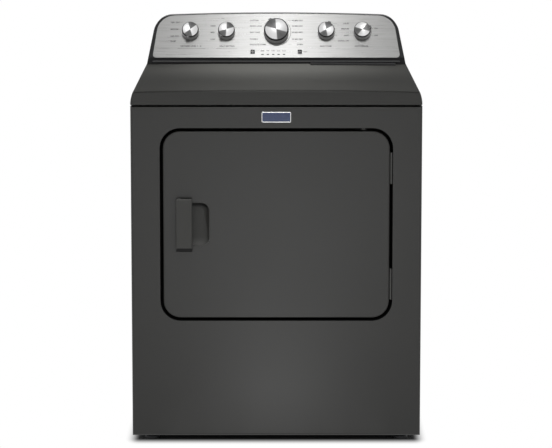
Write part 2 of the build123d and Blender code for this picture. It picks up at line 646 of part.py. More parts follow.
def rotary_switches():
    """Switch bodies on the back of the console's front wall, each with a bore for its knob's shaft."""
    bodies = []
    for x, angle, radius, depth in knob_spots().values():
        body = on_fascia(x, KNOB_ROW, -WALL_BACK - SWITCH_DEPTH / 2) * Cylinder(SWITCH_R, SWITCH_DEPTH)
        bore = on_fascia(x, KNOB_ROW, -WALL_BACK - KNOB_SHAFT_LENGTH / 2)
        bodies.append(body - bore * Cylinder(KNOB_SHAFT_R + SHAFT_FIT, KNOB_SHAFT_LENGTH))
    return Compound(bodies)


def knob(x, angle, radius, depth):
    """Metal-capped knob with a tapered skirt, a pointer tab at its foot and a shaft."""
    face_r = radius - KNOB_TAPER
    cap = Pos(0, 0, KNOB_LIFT + depth / 2) * Cone(radius, face_r, depth)
    cap = fillet(cap.edges().group_by(Axis.Z)[-1], KNOB_FACE_R)
    tab_length = radius + KNOB_TAB_REACH
    tab = Pos(0, tab_length / 2, KNOB_LIFT + depth * 0.45) * Box(KNOB_TAB_WIDTH, tab_length, depth * 0.9)
    shaft = Pos(0, 0, KNOB_LIFT - (KNOB_SHAFT_LENGTH + WALL_BACK) / 2 + 1)
    shaft = shaft * Cylinder(KNOB_SHAFT_R, KNOB_SHAFT_LENGTH + WALL_BACK - 1)
    return on_fascia(x, KNOB_ROW) * Rot(0, 0, -angle) * (cap + tab + shaft)


def push_button(side):
    """Square push button that stops just short of the control board at the end of its travel."""
    back = -BOARD_SETBACK + BUTTON_TRAVEL + BUTTON_GAP
    return button_block(side * BUTTON_X, 0, back, BUTTON_PROUD)


def indicator_lenses():
    """Row of small light windows."""
    return Compound([lens_block(step, 0, -WALL_BACK, LENS_PROUD) for step in range(LENS_COUNT)])


def cup_x():
    """Middle of the finger cup: the cup starts where the grip bar's root ends."""
    return -DOOR_WIDTH / 2 + HANDLE_LEFT + GRIP_ROOT + CUP_WIDTH / 2


def door_outer_panel():
    """Steel door skin with rounded edges and a hole for the finger cup."""
    skin = panel(DOOR_WIDTH, DOOR_HEIGHT, DOOR_R, 0, DOOR_Z, FRONT, FRONT + OUTER_DEPTH)
    skin = fillet(skin.edges().group_by(Axis.Y)[0], DOOR_EDGE_R)
    hollow = panel(DOOR_WIDTH - 2 * SHEET, DOOR_HEIGHT - 2 * SHEET, DOOR_R - SHEET, 0, DOOR_Z,
                   FRONT + SHEET, FRONT + OUTER_DEPTH)
    skin -= fillet(hollow.edges().group_by(Axis.Y)[0], DOOR_EDGE_R - SHEET)
    return skin - panel(CUP_WIDTH, CUP_HEIGHT, CUP_R, cup_x(), CUP_Z, FRONT, FRONT + CUP_DEPTH)


def door_inner_panel():
    """Pressed inner door panel: a flat back with a rim inside the outer panel and a raised rib."""
    back = panel(DOOR_WIDTH, DOOR_HEIGHT, DOOR_R, 0, DOOR_Z, FRONT + OUTER_DEPTH, FRONT + DOOR_T)
    inside = SHEET + SHEET_GAP
    rim_y = FRONT + DOOR_T - INNER_T - INNER_RIM
    back += panel(DOOR_WIDTH - 2 * inside, DOOR_HEIGHT - 2 * inside, DOOR_R - inside, 0, DOOR_Z,
                  rim_y, FRONT + OUTER_DEPTH)
    inside += INNER_T
    back -= panel(DOOR_WIDTH - 2 * inside, DOOR_HEIGHT - 2 * inside, DOOR_R - inside, 0, DOOR_Z,
                  rim_y, FRONT + DOOR_T - INNER_T)
    outside = SEAL_INSET + SEAL_WIDTH + LANDING
    back += panel(DOOR_WIDTH - 2 * outside, DOOR_HEIGHT - 2 * outside, DOOR_R / 2, 0, DOOR_Z,
                  FRONT + DOOR_T, FRONT + DOOR_T + INNER_RIB)
    outside += SEAL_WIDTH
    back -= panel(DOOR_WIDTH - 2 * outside, DOOR_HEIGHT - 2 * outside, DOOR_R / 3, 0, DOOR_Z,
                  FRONT + DOOR_T, FRONT + DOOR_T + INNER_RIB)
    return back


def finger_scoop(x):
    """Hollow of the finger cup: deepest near the top, with a floor that climbs to the lower rim."""
    width, height = CUP_WIDTH - 2 * CUP_WALL, CUP_HEIGHT - 2 * CUP_WALL
    rings = []
    for deep, lean in CUP_CURVE:
        inset = CUP_SLANT * lean
        low = (height - CUP_BED - CUP_SLANT) * lean
        ring = Plane(origin=(x - inset / 2, FRONT + (CUP_DEPTH - CUP_WALL) * deep, CUP_Z + (low - inset) / 2),
                     x_dir=(1, 0, 0), z_dir=(0, 1, 0))
        rings.append(ring * RectangleRounded(width - inset, height - low - inset, CUP_R - CUP_WALL - inset / 2))
    return loft(rings)


def door_handle():
    """Finger cup let into the door, with a grip bar that overhangs it from the left."""
    x = cup_x()
    cup = panel(CUP_WIDTH - SHEET_GAP, CUP_HEIGHT - SHEET_GAP, CUP_R - SHEET_GAP / 2, x, CUP_Z,
                FRONT, FRONT + CUP_DEPTH)
    cup -= finger_scoop(x)
    left = -DOOR_WIDTH / 2 + HANDLE_LEFT
    low, high = DOOR_Z - GRIP_HEIGHT / 2, DOOR_Z + GRIP_HEIGHT / 2
    face = FRONT - HANDLE_PROUD
    side = Polyline((face, low + GRIP_CUT), (face + GRIP_T, low), (FRONT, low), (FRONT, high), (face, high),
                    close=True)
    bar = Pos(left, 0, 0) * extrude(Plane.YZ * make_face(side), GRIP_WIDTH)
    bar -= block(left + GRIP_ROOT + CUP_WALL, left + GRIP_WIDTH, face + GRIP_T, FRONT, low, high)
    bar = fillet(bar.edges().filter_by(Axis.Y).group_by(Axis.X)[0].sort_by(Axis.Z)[-1], GRIP_CORNER_R)
    bar = fillet(bar.edges().group_by(Axis.Y)[0], GRIP_T / 4)
    return cup + bar


def door_seal():
    """Rubber ring on the door's back that meets the landing flange."""
    width, height, radius = DOOR_WIDTH - 2 * SEAL_INSET, DOOR_HEIGHT - 2 * SEAL_INSET, DOOR_R - SEAL_INSET
    y0, y1 = FRONT + DOOR_T, LANDING_Y - SEAL_GAP
    ring = panel(width, height, radius, 0, DOOR_Z, y0, y1)
    ring -= panel(width - 2 * SEAL_WIDTH, height - 2 * SEAL_WIDTH, radius - SEAL_WIDTH, 0, DOOR_Z, y0, y1)
    x = -DOOR_WIDTH / 2 + STRIKE_INSET
    reach, rise = STRIKE_WIDTH / 2 + SEAL_GAP, STRIKE_HEIGHT / 2 + SEAL_GAP
    return ring - block(x - reach, x + reach, y0, y1, DOOR_Z - rise, DOOR_Z + rise)


def door_strike():
    """Tongue on the door's back that the catch holds."""
    x = -DOOR_WIDTH / 2 + STRIKE_INSET
    y1 = LANDING_Y + STRIKE_LENGTH
    return block(x - STRIKE_WIDTH / 2, x + STRIKE_WIDTH / 2, FRONT + DOOR_T, y1,
                 DOOR_Z - STRIKE_HEIGHT / 2, DOOR_Z + STRIKE_HEIGHT / 2)


def door_catch():
    """Catch box behind the landing flange, let into the front bulkhead."""
    x = -DOOR_WIDTH / 2 + STRIKE_INSET
    reach = STRIKE_WIDTH / 2 + STRIKE_PLAY + CATCH_WALL
    rise = STRIKE_HEIGHT / 2 + STRIKE_PLAY + CATCH_WALL
    y0, y1 = FRONT_BULKHEAD_Y, LANDING_Y + STRIKE_LENGTH + STRIKE_PLAY
    box = block(x - reach, x + reach, y0, y1, DOOR_Z - rise, DOOR_Z + rise)
    return box - strike_slot(y0, y1 - CATCH_WALL)


def hinge_barrel(z0, z1, radius):
    """Upright cylinder on the hinge axis."""
    return rod_z(HINGE_X, HINGE_Y, radius, z0, z1)


def hinge_cuts(z):
    """Heights that part a hinge's barrel in three, from its lower end to its upper end."""
    low = z - HINGE_LENGTH / 2
    return [low, low + HINGE_LENGTH / 3, low + 2 * HINGE_LENGTH / 3, low + HINGE_LENGTH]


def hinge_brackets():
    """Cabinet leaves of the hinges: end barrels on a leaf that is fixed to the recess wall."""
    wall = OPENING_WIDTH / 2
    leaf_y = HINGE_Y + HINGE_R + HINGE_PLAY
    brackets = []
    for z in HINGE_HEIGHTS:
        z0, z1, z2, z3 = hinge_cuts(z)
        bracket = block(wall - HINGE_LEAF, wall, leaf_y, leaf_y + HINGE_LEAF_DEPTH, z0, z3)
        for low, high in ((z0, z1), (z2, z3)):
            bracket += block(wall - HINGE_LEAF, wall, HINGE_Y, leaf_y, low, high)
            bracket += hinge_barrel(low, high, HINGE_R)
        brackets.append(bracket - hinge_barrel(z0, z3, HINGE_PIN_R + SHAFT_FIT))
    return Compound(brackets)


def door_hinges():
    """Door leaves of the hinges: the middle barrel with the pin, on a leaf fixed to the door's edge."""
    edge = DOOR_WIDTH / 2
    leaf_y = HINGE_Y + HINGE_R + HINGE_PLAY
    leaves = []
    for z in HINGE_HEIGHTS:
        z0, z1, z2, z3 = hinge_cuts(z)
        z1, z2 = z1 + HINGE_PLAY, z2 - HINGE_PLAY
        leaf = block(edge, edge + HINGE_LEAF, leaf_y, leaf_y + HINGE_LEAF_DEPTH, z0, z3)
        leaf += block(edge, edge + HINGE_LEAF, HINGE_Y, leaf_y, z1, z2)
        leaf += hinge_barrel(z1, z2, HINGE_R) + hinge_barrel(z0, z3, HINGE_PIN_R)
        leaves.append(leaf)
    return Compound(leaves)


def door_switch():
    """Switch body behind the landing flange, with a bore for its plunger, let into the front bulkhead."""
    z = DOOR_TOP + PLUNGER_LIFT
    y0 = FRONT_BULKHEAD_Y
    y1 = y0 + PLUNGER_STROKE + PLUNGER_GUIDE + CATCH_WALL
    body = block(SWITCH_X - 2 * SWITCH_HALF, SWITCH_X + 2 * SWITCH_HALF, y0, y1,
                 z - SWITCH_HALF, z + SWITCH_HALF)
    return body - rod_y(SWITCH_X, z, PLUNGER_R + SHAFT_FIT, y0, y1 - CATCH_WALL)


def door_switch_plunger():
    """Plunger that the closed door holds in."""
    y0 = FRONT + DOOR_T + PLUNGER_GAP
    y1 = FRONT_BULKHEAD_Y + PLUNGER_STROKE + PLUNGER_GUIDE
    return rod_y(SWITCH_X, DOOR_TOP + PLUNGER_LIFT, PLUNGER_R, y0, y1)


def name_plate():
    """Plain enamel plate above the door, without lettering."""
    z1 = BODY_TOP - PLATE_DROP
    plate = panel(PLATE_WIDTH, PLATE_HEIGHT, PLATE_T * 2, 0, z1 - PLATE_HEIGHT / 2, FRONT - PLATE_T, FRONT)
    return fillet(plate.edges().group_by(Axis.Y)[0], PLATE_T / 3)


def drum_tangent(side):
    """Direction from the pulleys' centres to a straight run of the belt: side 1 right, -1 left."""
    across, down = MOTOR_X, MOTOR_Z - DRUM_Z
    lean = acos((DRUM_R - PULLEY_R) / sqrt(across ** 2 + down ** 2))
    angle = atan2(down, across) + side * lean
    return cos(angle), sin(angle)


# Idler place: outside the belt's left run, with its pivot further along the same run
RUN_X, RUN_Z = drum_tangent(-1)
IDLER_OUT = PULLEY_R + ROLLER_GAP + BELT_T + ROLLER_GAP + IDLER_R
IDLER_X = MOTOR_X + RUN_X * IDLER_OUT + RUN_Z * IDLER_ALONG
IDLER_Z = MOTOR_Z + RUN_Z * IDLER_OUT - RUN_X * IDLER_ALONG
IDLER_PIVOT = (IDLER_X + RUN_Z * IDLER_ARM, IDLER_Z - RUN_X * IDLER_ARM)
ARM_Y = BELT_Y + IDLER_WIDTH / 2 + IDLER_SIDE_GAP


def belt_outline(grow):
    """Tight loop round the drum and the motor pulley, seen from the front."""
    big, small = DRUM_R + ROLLER_GAP + grow, PULLEY_R + ROLLER_GAP + grow
    right, left = drum_tangent(1), drum_tangent(-1)
    corners = [(big * right[0], DRUM_Z + big * right[1]),
               (MOTOR_X + small * right[0], MOTOR_Z + small * right[1]),
               (MOTOR_X + small * left[0], MOTOR_Z + small * left[1]),
               (big * left[0], DRUM_Z + big * left[1])]
    loop = make_face(Polyline(*corners, close=True))
    return loop + Pos(0, DRUM_Z) * Circle(big) + Pos(MOTOR_X, MOTOR_Z) * Circle(small)


def drum_belt():
    """Flat drive belt."""
    ring = belt_outline(BELT_T) - belt_outline(0)
    return extrude(upright(BELT_Y + BELT_WIDTH / 2) * ring, BELT_WIDTH)


def drum():
    """Open steel drum with turned-in lips that ride over the bulkheads' felt collars."""
    tub = tube_y(0, DRUM_Z, DRUM_R, DRUM_R - DRUM_WALL, DRUM_FRONT, DRUM_REAR)
    for y0, y1 in ((DRUM_FRONT, DRUM_FRONT + DRUM_WALL), (DRUM_REAR - DRUM_WALL, DRUM_REAR)):
        tub += tube_y(0, DRUM_Z, DRUM_R, DRUM_R - DRUM_LIP, y0, y1)
    return tub


def drum_baffles():
    """Lifting vanes inside the drum."""
    root = DRUM_R - DRUM_WALL
    tip = root - BAFFLE_HEIGHT
    shape = make_face(Polyline((-BAFFLE_WIDTH / 2, root), (BAFFLE_WIDTH / 2, root), (BAFFLE_TIP / 2, tip),
                               (-BAFFLE_TIP / 2, tip), close=True))
    shape = fillet(shape.vertices().group_by(Axis.Y)[0], BAFFLE_TIP / 3)
    inset = COLLAR_LENGTH - DRUM_END_GAP + BAFFLE_END_GAP
    length = DRUM_LENGTH - 2 * inset
    bar = extrude(shape, length)
    bar -= Pos(0, 0, BAFFLE_WALL) * extrude(offset(shape, -BAFFLE_WALL), length - 2 * BAFFLE_WALL)
    bar = bar & Cylinder(root, 2 * length)
    place = Plane(origin=(0, DRUM_REAR - inset, DRUM_Z), x_dir=(1, 0, 0), z_dir=(0, -1, 0))
    turn = 360 / BAFFLE_COUNT
    return Compound([place.location * Rot(0, 0, step * turn) * bar for step in range(BAFFLE_COUNT)])


def bulkhead(y, bottom, collar_y):
    """Full-width inner wall with a round collar for the drum's lip."""
    wall = block(-INNER_HALF, INNER_HALF, y, y + SHEET, bottom, BODY_TOP - SHEET - SHEET_GAP)
    for side in (-1, 1):
        wall -= block(side * (INNER_HALF - SIDE_FLANGE), side * INNER_HALF, y, y + SHEET,
                      BODY_TOP - SIDE_FLANGE, BODY_TOP)
    ends = sorted((y + SHEET / 2, collar_y))
    return wall + tube_y(0, DRUM_Z, COLLAR_R, COLLAR_R - COLLAR_WALL, *ends)


def front_bulkhead():
    """Inner wall behind the door, with the mouth that the clothes go through."""
    y = FRONT_BULKHEAD_Y
    wall = bulkhead(y, BODY_BOTTOM + PAN_FLANGE + SHEET_GAP, y + COLLAR_LENGTH)
    wall -= panel(MOUTH_WIDTH, MOUTH_HEIGHT, MOUTH_R, 0, MOUTH_Z, y, y + SHEET)
    for name in (door_catch, door_switch):
        box = name().bounding_box()
        wall -= block(box.min.X - SHEET_GAP, box.max.X + SHEET_GAP, y, y + SHEET,
                      box.min.Z - SHEET_GAP, box.max.Z + SHEET_GAP)
    return wall


def rear_bulkhead():
    """Fixed back of the drum, with holes for the hot air, a window to the lint chute and the shaft hole."""
    y = REAR_BULKHEAD_Y
    wall = bulkhead(y, PAN_TOP, y - COLLAR_LENGTH + SHEET)
    for row in range(HEAT_HOLE_ROWS):
        for column in range(HEAT_HOLE_COLUMNS):
            x = HEATER_X + (column - (HEAT_HOLE_COLUMNS - 1) / 2) * HEAT_HOLE_PITCH
            z = HEATER_Z + (row - (HEAT_HOLE_ROWS - 1) / 2) * HEAT_HOLE_PITCH
            wall -= rod_y(x, z, HEAT_HOLE_R, y, y + SHEET)
    for side in (-1, 1):
        wall -= block(side * (INNER_HALF - PAN_SHEET - SHEET_GAP), side * INNER_HALF, y, y + SHEET,
                      BODY_BOTTOM, BODY_BOTTOM + PAN_FLANGE + SHEET_GAP)
    wall -= chute_window(y, y + SHEET)
    return wall - rod_y(MOTOR_X, MOTOR_Z, 2 * SHAFT_R, y, y + SHEET)


def felt_seals():
    """Felt rings round the two collars, inside the drum's lips."""
    front = FRONT_BULKHEAD_Y + SHEET, FRONT_BULKHEAD_Y + COLLAR_LENGTH
    rear = REAR_BULKHEAD_Y - COLLAR_LENGTH + SHEET, REAR_BULKHEAD_Y
    return Compound([tube_y(0, DRUM_Z, COLLAR_R + FELT_T, COLLAR_R, *ends) for ends in (front, rear)])


def roller_spot(side):
    """Centre of a support roller under the drum."""
    reach = DRUM_R + ROLLER_GAP + ROLLER_R
    return side * reach * sin(radians(ROLLER_ANGLE)), DRUM_Z - reach * cos(radians(ROLLER_ANGLE))


def support_roller(side):
    """Roller that carries the back of the drum."""
    x, z = roller_spot(side)
    y1 = REAR_BULKHEAD_Y - ROLLER_SETBACK
    return tube_y(x, z, ROLLER_R, ROLLER_SHAFT_R + SHAFT_FIT, y1 - ROLLER_WIDTH, y1)


def roller_shafts():
    """Stub shafts of the rollers, with a shoulder against the rear bulkhead."""
    shafts = []
    for side in (-1, 1):
        x, z = roller_spot(side)
        roller_back = REAR_BULKHEAD_Y - ROLLER_SETBACK
        shoulder = rod_y(x, z, 2 * ROLLER_SHAFT_R, roller_back + SPRING_GAP, REAR_BULKHEAD_Y)
        stub = rod_y(x, z, ROLLER_SHAFT_R, roller_back - ROLLER_WIDTH - SHEET, REAR_BULKHEAD_Y)
        shafts.append(shoulder + stub)
    return Compound(shafts)


def motor_housing():
    """Motor shell with a bearing bore in each end."""
    y0, y1 = MOTOR_Y, MOTOR_Y + MOTOR_LENGTH
    shell = rod_y(MOTOR_X, MOTOR_Z, MOTOR_R, y0, y1)
    shell -= rod_y(MOTOR_X, MOTOR_Z, MOTOR_R - MOTOR_WALL, y0 + MOTOR_WALL, y1 - MOTOR_WALL)
    return shell - rod_y(MOTOR_X, MOTOR_Z, SHAFT_R + SHAFT_FIT, y0, y1)


def motor_shaft():
    """Shaft with the belt pulley at its front end."""
    half = BELT_WIDTH / 2 + BELT_SIDE_GAP
    back = BLOWER_BACK - BLOWER_WALL - WHEEL_PLATE_T
    shaft = rod_y(MOTOR_X, MOTOR_Z, SHAFT_R, BELT_Y - half - PULLEY_FLANGE_T, back)
    shaft += rod_y(MOTOR_X, MOTOR_Z, PULLEY_R, BELT_Y - half, BELT_Y + half)
    for y in (BELT_Y - half - PULLEY_FLANGE_T, BELT_Y + half):
        shaft += rod_y(MOTOR_X, MOTOR_Z, PULLEY_R + PULLEY_FLANGE, y, y + PULLEY_FLANGE_T)
    return shaft


def blower_wheel():
    """Moulded fan wheel: a back plate, a hub and upright blades."""
    y1 = BLOWER_BACK - BLOWER_WALL - 2 * WHEEL_PLATE_T
    y0 = y1 - WHEEL_DEPTH
    wheel = rod_y(MOTOR_X, MOTOR_Z, WHEEL_R, y1 - WHEEL_PLATE_T, y1)
    wheel += rod_y(MOTOR_X, MOTOR_Z, WHEEL_HUB_R, y0, y1)
    blade = block(-BLADE_T / 2, BLADE_T / 2, y0, y1, WHEEL_R - BLADE_DEPTH, WHEEL_R - BLADE_T)
    for step in range(BLADE_COUNT):
        wheel += Pos(MOTOR_X, 0, MOTOR_Z) * Rot(0, step * 360 / BLADE_COUNT, 0) * blade
    return wheel - rod_y(MOTOR_X, MOTOR_Z, SHAFT_R + HUB_FIT, y0, y1)


def idler_arm():
    """Tension arm with the idler's axle."""
    x, z = IDLER_PIVOT
    y0, y1 = ARM_Y, ARM_Y + IDLER_ARM_T
    link = make_face(Polyline((x + RUN_X * IDLER_ARM_HALF, z + RUN_Z * IDLER_ARM_HALF),
                              (IDLER_X + RUN_X * IDLER_ARM_HALF, IDLER_Z + RUN_Z * IDLER_ARM_HALF),
                              (IDLER_X - RUN_X * IDLER_ARM_HALF, IDLER_Z - RUN_Z * IDLER_ARM_HALF),
                              (x - RUN_X * IDLER_ARM_HALF, z - RUN_Z * IDLER_ARM_HALF), close=True))
    arm = extrude(upright(y1) * link, IDLER_ARM_T)
    arm += rod_y(x, z, IDLER_ARM_HALF, y0, y1) + rod_y(IDLER_X, IDLER_Z, IDLER_ARM_HALF, y0, y1)
    arm += rod_y(IDLER_X, IDLER_Z, IDLER_AXLE_R, BELT_Y - IDLER_WIDTH / 2 - IDLER_SIDE_GAP, y0)
    return arm - rod_y(x, z, IDLER_AXLE_R + SHAFT_FIT, y0, y1)


def idler_pulley():
    """Plain pulley that bears on the outside of the belt."""
    return tube_y(IDLER_X, IDLER_Z, IDLER_R, IDLER_AXLE_R + SHAFT_FIT,
                  BELT_Y - IDLER_WIDTH / 2, BELT_Y + IDLER_WIDTH / 2)


def idler_spring():
    """Spring between the base pan and the tension arm, as its outer cylinder."""
    x = (IDLER_PIVOT[0] + IDLER_X) / 2
    top = (IDLER_PIVOT[1] + IDLER_Z) / 2 - (IDLER_ARM_HALF + SPRING_R) / abs(RUN_Z) - SPRING_GAP
    return rod_z(x, ARM_Y + IDLER_ARM_T / 2, SPRING_R, PAN_TOP, top)


def chute_window(y0, y1):
    """Drum outlet into the lint chute."""
    width, height = CHUTE_WINDOW
    return panel(width, height, height / 8, SCREEN_X - SCREEN_WIDTH / 2 + width / 2, CHUTE_WINDOW_Z, y0, y1)


def chute_form(inset):
    """Lint chute: a wide upper duct round the screen and a narrow foot in front of the blower."""
    half = SCREEN_WIDTH / 2 + SCREEN_GAP + CHUTE_WALL - inset
    upper = block(SCREEN_X - half, SCREEN_X + half, BEHIND + inset, BEHIND + CHUTE_DEPTH - inset,
                  CHUTE_FOOT_Z + inset, LINT_TOP)
    left = min(MOTOR_X - INLET_R - CHUTE_WALL, SCREEN_X - half) + inset
    return upper + block(left, SCREEN_X + half, BEHIND + inset, BLOWER_Y - inset,
                         CHUTE_FOOT_BOTTOM + inset, CHUTE_FOOT_Z + 2 * CHUTE_WALL)


def lint_chute():
    """Duct from the drum's outlet down past the lint screen to the blower's inlet."""
    duct = chute_form(0) - chute_form(CHUTE_WALL)
    duct -= chute_window(BEHIND, BEHIND + CHUTE_WALL)
    duct -= rod_y(MOTOR_X, MOTOR_Z, INLET_R, BLOWER_Y - CHUTE_WALL, BLOWER_Y)
    return duct - rod_y(MOTOR_X, MOTOR_Z, 2 * SHAFT_R, BEHIND, BEHIND + CHUTE_WALL)


def lint_screen_frame():
    """Lint screen's frame and rails, hanging from a handle that lies level with the top panel."""
    half = SCREEN_WIDTH / 2
    y0, y1 = SCREEN_Y - SCREEN_T / 2, SCREEN_Y + SCREEN_T / 2
    low = LINT_TOP - SCREEN_HEIGHT
    frame = block(SCREEN_X - half, SCREEN_X + half, y0, y1, low, LINT_TOP)
    frame -= block(SCREEN_X - half + SCREEN_RAIL, SCREEN_X + half - SCREEN_RAIL, y0, y1,
                   low + SCREEN_RAIL, LINT_TOP - SCREEN_RAIL)
    handle = lint_slot(0) & (Pos(0, 0, LINT_HANDLE_PROUD) * TOP_FORM)
    return frame + handle


def lint_screen_mesh():
    """Fine mesh across the lint screen's frame."""
    half = SCREEN_WIDTH / 2 - SCREEN_RAIL
    return block(SCREEN_X - half, SCREEN_X + half, SCREEN_Y - MESH_T / 2, SCREEN_Y + MESH_T / 2,
                 LINT_TOP - SCREEN_HEIGHT + SCREEN_RAIL, LINT_TOP - SCREEN_RAIL)


def blower_form(inset):
    """Blower scroll with a square outlet box that ends round the exhaust pipe."""
    y0, y1 = BLOWER_Y + inset, BLOWER_BACK - inset
    reach = EXHAUST_R + OUTLET_MARGIN - inset
    scroll = rod_y(MOTOR_X, MOTOR_Z, BLOWER_R - inset, y0, y1)
    return scroll + block(EXHAUST_X - reach, MOTOR_X, y0, y1, EXHAUST_Z - reach, EXHAUST_Z + reach)


def blower_housing():
    """Blower housing between the chute's foot and the exhaust pipe."""
    shell = blower_form(0) - blower_form(BLOWER_WALL)
    shell -= rod_y(MOTOR_X, MOTOR_Z, INLET_R, BLOWER_Y, BLOWER_Y + BLOWER_WALL)
    return shell - rod_y(EXHAUST_X, EXHAUST_Z, EXHAUST_R - EXHAUST_WALL,
                         BLOWER_BACK - BLOWER_WALL, BLOWER_BACK)


def exhaust_pipe():
    """Exhaust pipe through the rear panel, for a four-inch duct."""
    bore, end = EXHAUST_R - EXHAUST_WALL, REAR + COLLAR_PROUD
    pipe = tube_y(EXHAUST_X, EXHAUST_Z, EXHAUST_R + EXHAUST_BEAD, bore, BLOWER_BACK, end - COLLAR_FREE)
    return pipe + tube_y(EXHAUST_X, EXHAUST_Z, EXHAUST_R, bore, end - COLLAR_FREE, end)


def heater_box():
    """Sheet box behind the hot-air holes, open towards the drum."""
    x0, x1 = HEATER_X - HEATER_WIDTH / 2, HEATER_X + HEATER_WIDTH / 2
    z0, z1 = HEATER_Z - HEATER_HEIGHT / 2, HEATER_Z + HEATER_HEIGHT / 2
    box = block(x0, x1, BEHIND, BEHIND + HEATER_DEPTH, z0, z1)
    return box - block(x0 + HEATER_WALL, x1 - HEATER_WALL, BEHIND, BEHIND + HEATER_DEPTH - HEATER_WALL,
                       z0 + HEATER_WALL, z1 - HEATER_WALL)


def heater_element():
    """Ribbon element folded to and fro across the heater box."""
    reach = HEATER_WIDTH / 2 - 4 * ELEMENT_T
    low = HEATER_Z - HEATER_HEIGHT / 2 + HEATER_WALL
    pitch = (HEATER_HEIGHT - 2 * HEATER_WALL) / ELEMENT_PASSES
    y0 = BEHIND + HEATER_DEPTH / 2
    y1 = y0 + ELEMENT_T
    ribbon = block(HEATER_X - reach, HEATER_X - reach + ELEMENT_T, y0, y1, low, low + pitch / 2)
    for step in range(ELEMENT_PASSES):
        z = low + (step + 0.5) * pitch
        ribbon += block(HEATER_X - reach, HEATER_X + reach, y0, y1, z, z + ELEMENT_T)
        if step + 1 < ELEMENT_PASSES:
            turn = reach - ELEMENT_T / 2 if step % 2 == 0 else -reach + ELEMENT_T / 2
            ribbon += block(HEATER_X + turn - ELEMENT_T / 2, HEATER_X + turn + ELEMENT_T / 2, y0, y1,
                            z, z + pitch + ELEMENT_T)
    return ribbon


def thermostats():
    """Thermal cut-outs on the heater box and on the lint chute."""
    spots = ((HEATER_X, HEATER_Z, BEHIND + HEATER_DEPTH), (SCREEN_X, CHUTE_WINDOW_Z, BEHIND + CHUTE_DEPTH))
    return Compound([rod_y(x, z, THERMOSTAT_R, y, y + THERMOSTAT_T) for x, z, y in spots])


def terminal_block():
    """Mains terminal block on the inside of the rear panel."""
    x0, z0 = TERMINAL_X - TERMINAL_WIDTH / 2, TERMINAL_Z - TERMINAL_HEIGHT / 2
    return block(x0, x0 + TERMINAL_WIDTH, REAR_SKIN - TERMINAL_DEPTH, REAR_SKIN, z0, z0 + TERMINAL_HEIGHT)


def terminal_cover():
    """Cover over the terminals outside the rear panel, with a hole for the mains cord in its underside."""
    half, rise = TERMINAL_WIDTH / 2 + COVER_MARGIN, TERMINAL_HEIGHT / 2 + COVER_MARGIN
    low, high = TERMINAL_Z - rise, TERMINAL_Z + rise
    cover = block(TERMINAL_X - half, TERMINAL_X + half, REAR, REAR + COVER_PROUD, low, high)
    cover -= block(TERMINAL_X - half + COVER_WALL, TERMINAL_X + half - COVER_WALL, REAR,
                   REAR + COVER_PROUD - COVER_WALL, low + COVER_WALL, high - COVER_WALL)
    hole_y = REAR + (COVER_PROUD - COVER_WALL) / 2
    return cover - rod_z(TERMINAL_X, hole_y, CORD_HOLE_R, low, low + COVER_WALL)


TOP_FORM = top_solid(0)

PARTS = {
    "front_panel": front_panel(), "side_panel_left": side_panel(-1), "side_panel_right": side_panel(1),
    "rear_panel": rear_panel(), "base_pan": base_pan(), "top_panel": top_panel(),
    "panel_screws": panel_screws(), "name_plate": name_plate(),
    "console_housing": console_housing(), "fascia": fascia(), "console_back_cover": console_back_cover(),
    "control_board": control_board(), "rotary_switches": rotary_switches(),
    "indicator_lenses": indicator_lenses(), "start_button": push_button(1), "option_button": push_button(-1),
    "front_bulkhead": front_bulkhead(), "rear_bulkhead": rear_bulkhead(), "felt_seals": felt_seals(),
    "drum": drum(), "drum_baffles": drum_baffles(), "roller_shafts": roller_shafts(),
    "support_roller_left": support_roller(-1), "support_roller_right": support_roller(1),
    "motor_housing": motor_housing(), "motor_shaft": motor_shaft(), "blower_wheel": blower_wheel(),
    "drum_belt": drum_belt(), "idler_arm": idler_arm(), "idler_pulley": idler_pulley(),
    "idler_spring": idler_spring(),
    "lint_chute": lint_chute(), "lint_screen_frame": lint_screen_frame(),
    "lint_screen_mesh": lint_screen_mesh(),
    "blower_housing": blower_housing(), "exhaust_pipe": exhaust_pipe(),
    "heater_box": heater_box(), "heater_element": heater_element(), "thermostats": thermostats(),
    "terminal_block": terminal_block(), "terminal_cover": terminal_cover(),
    "door_outer_panel": door_outer_panel(), "door_inner_panel": door_inner_panel(),
    "door_handle": door_handle(), "door_seal": door_seal(), "door_strike": door_strike(),
    "door_hinges": door_hinges(), "hinge_brackets": hinge_brackets(), "door_catch": door_catch(),
    "door_switch": door_switch(), "door_switch_plunger": door_switch_plunger(),
}
PARTS.update({name: knob(*spot) for name, spot in knob_spots().items()})
PARTS.update({name: foot(*spot) for name, spot in foot_spots().items()})

os.makedirs("parts", exist_ok=True)
for name, shape in PARTS.items():
    export_step(shape, f"parts/{name}.step")
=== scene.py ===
# Clothes dryer with its controls in a console along the back edge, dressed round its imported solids.
# The file follows the machine as it is put together, from the base pan up to the door.

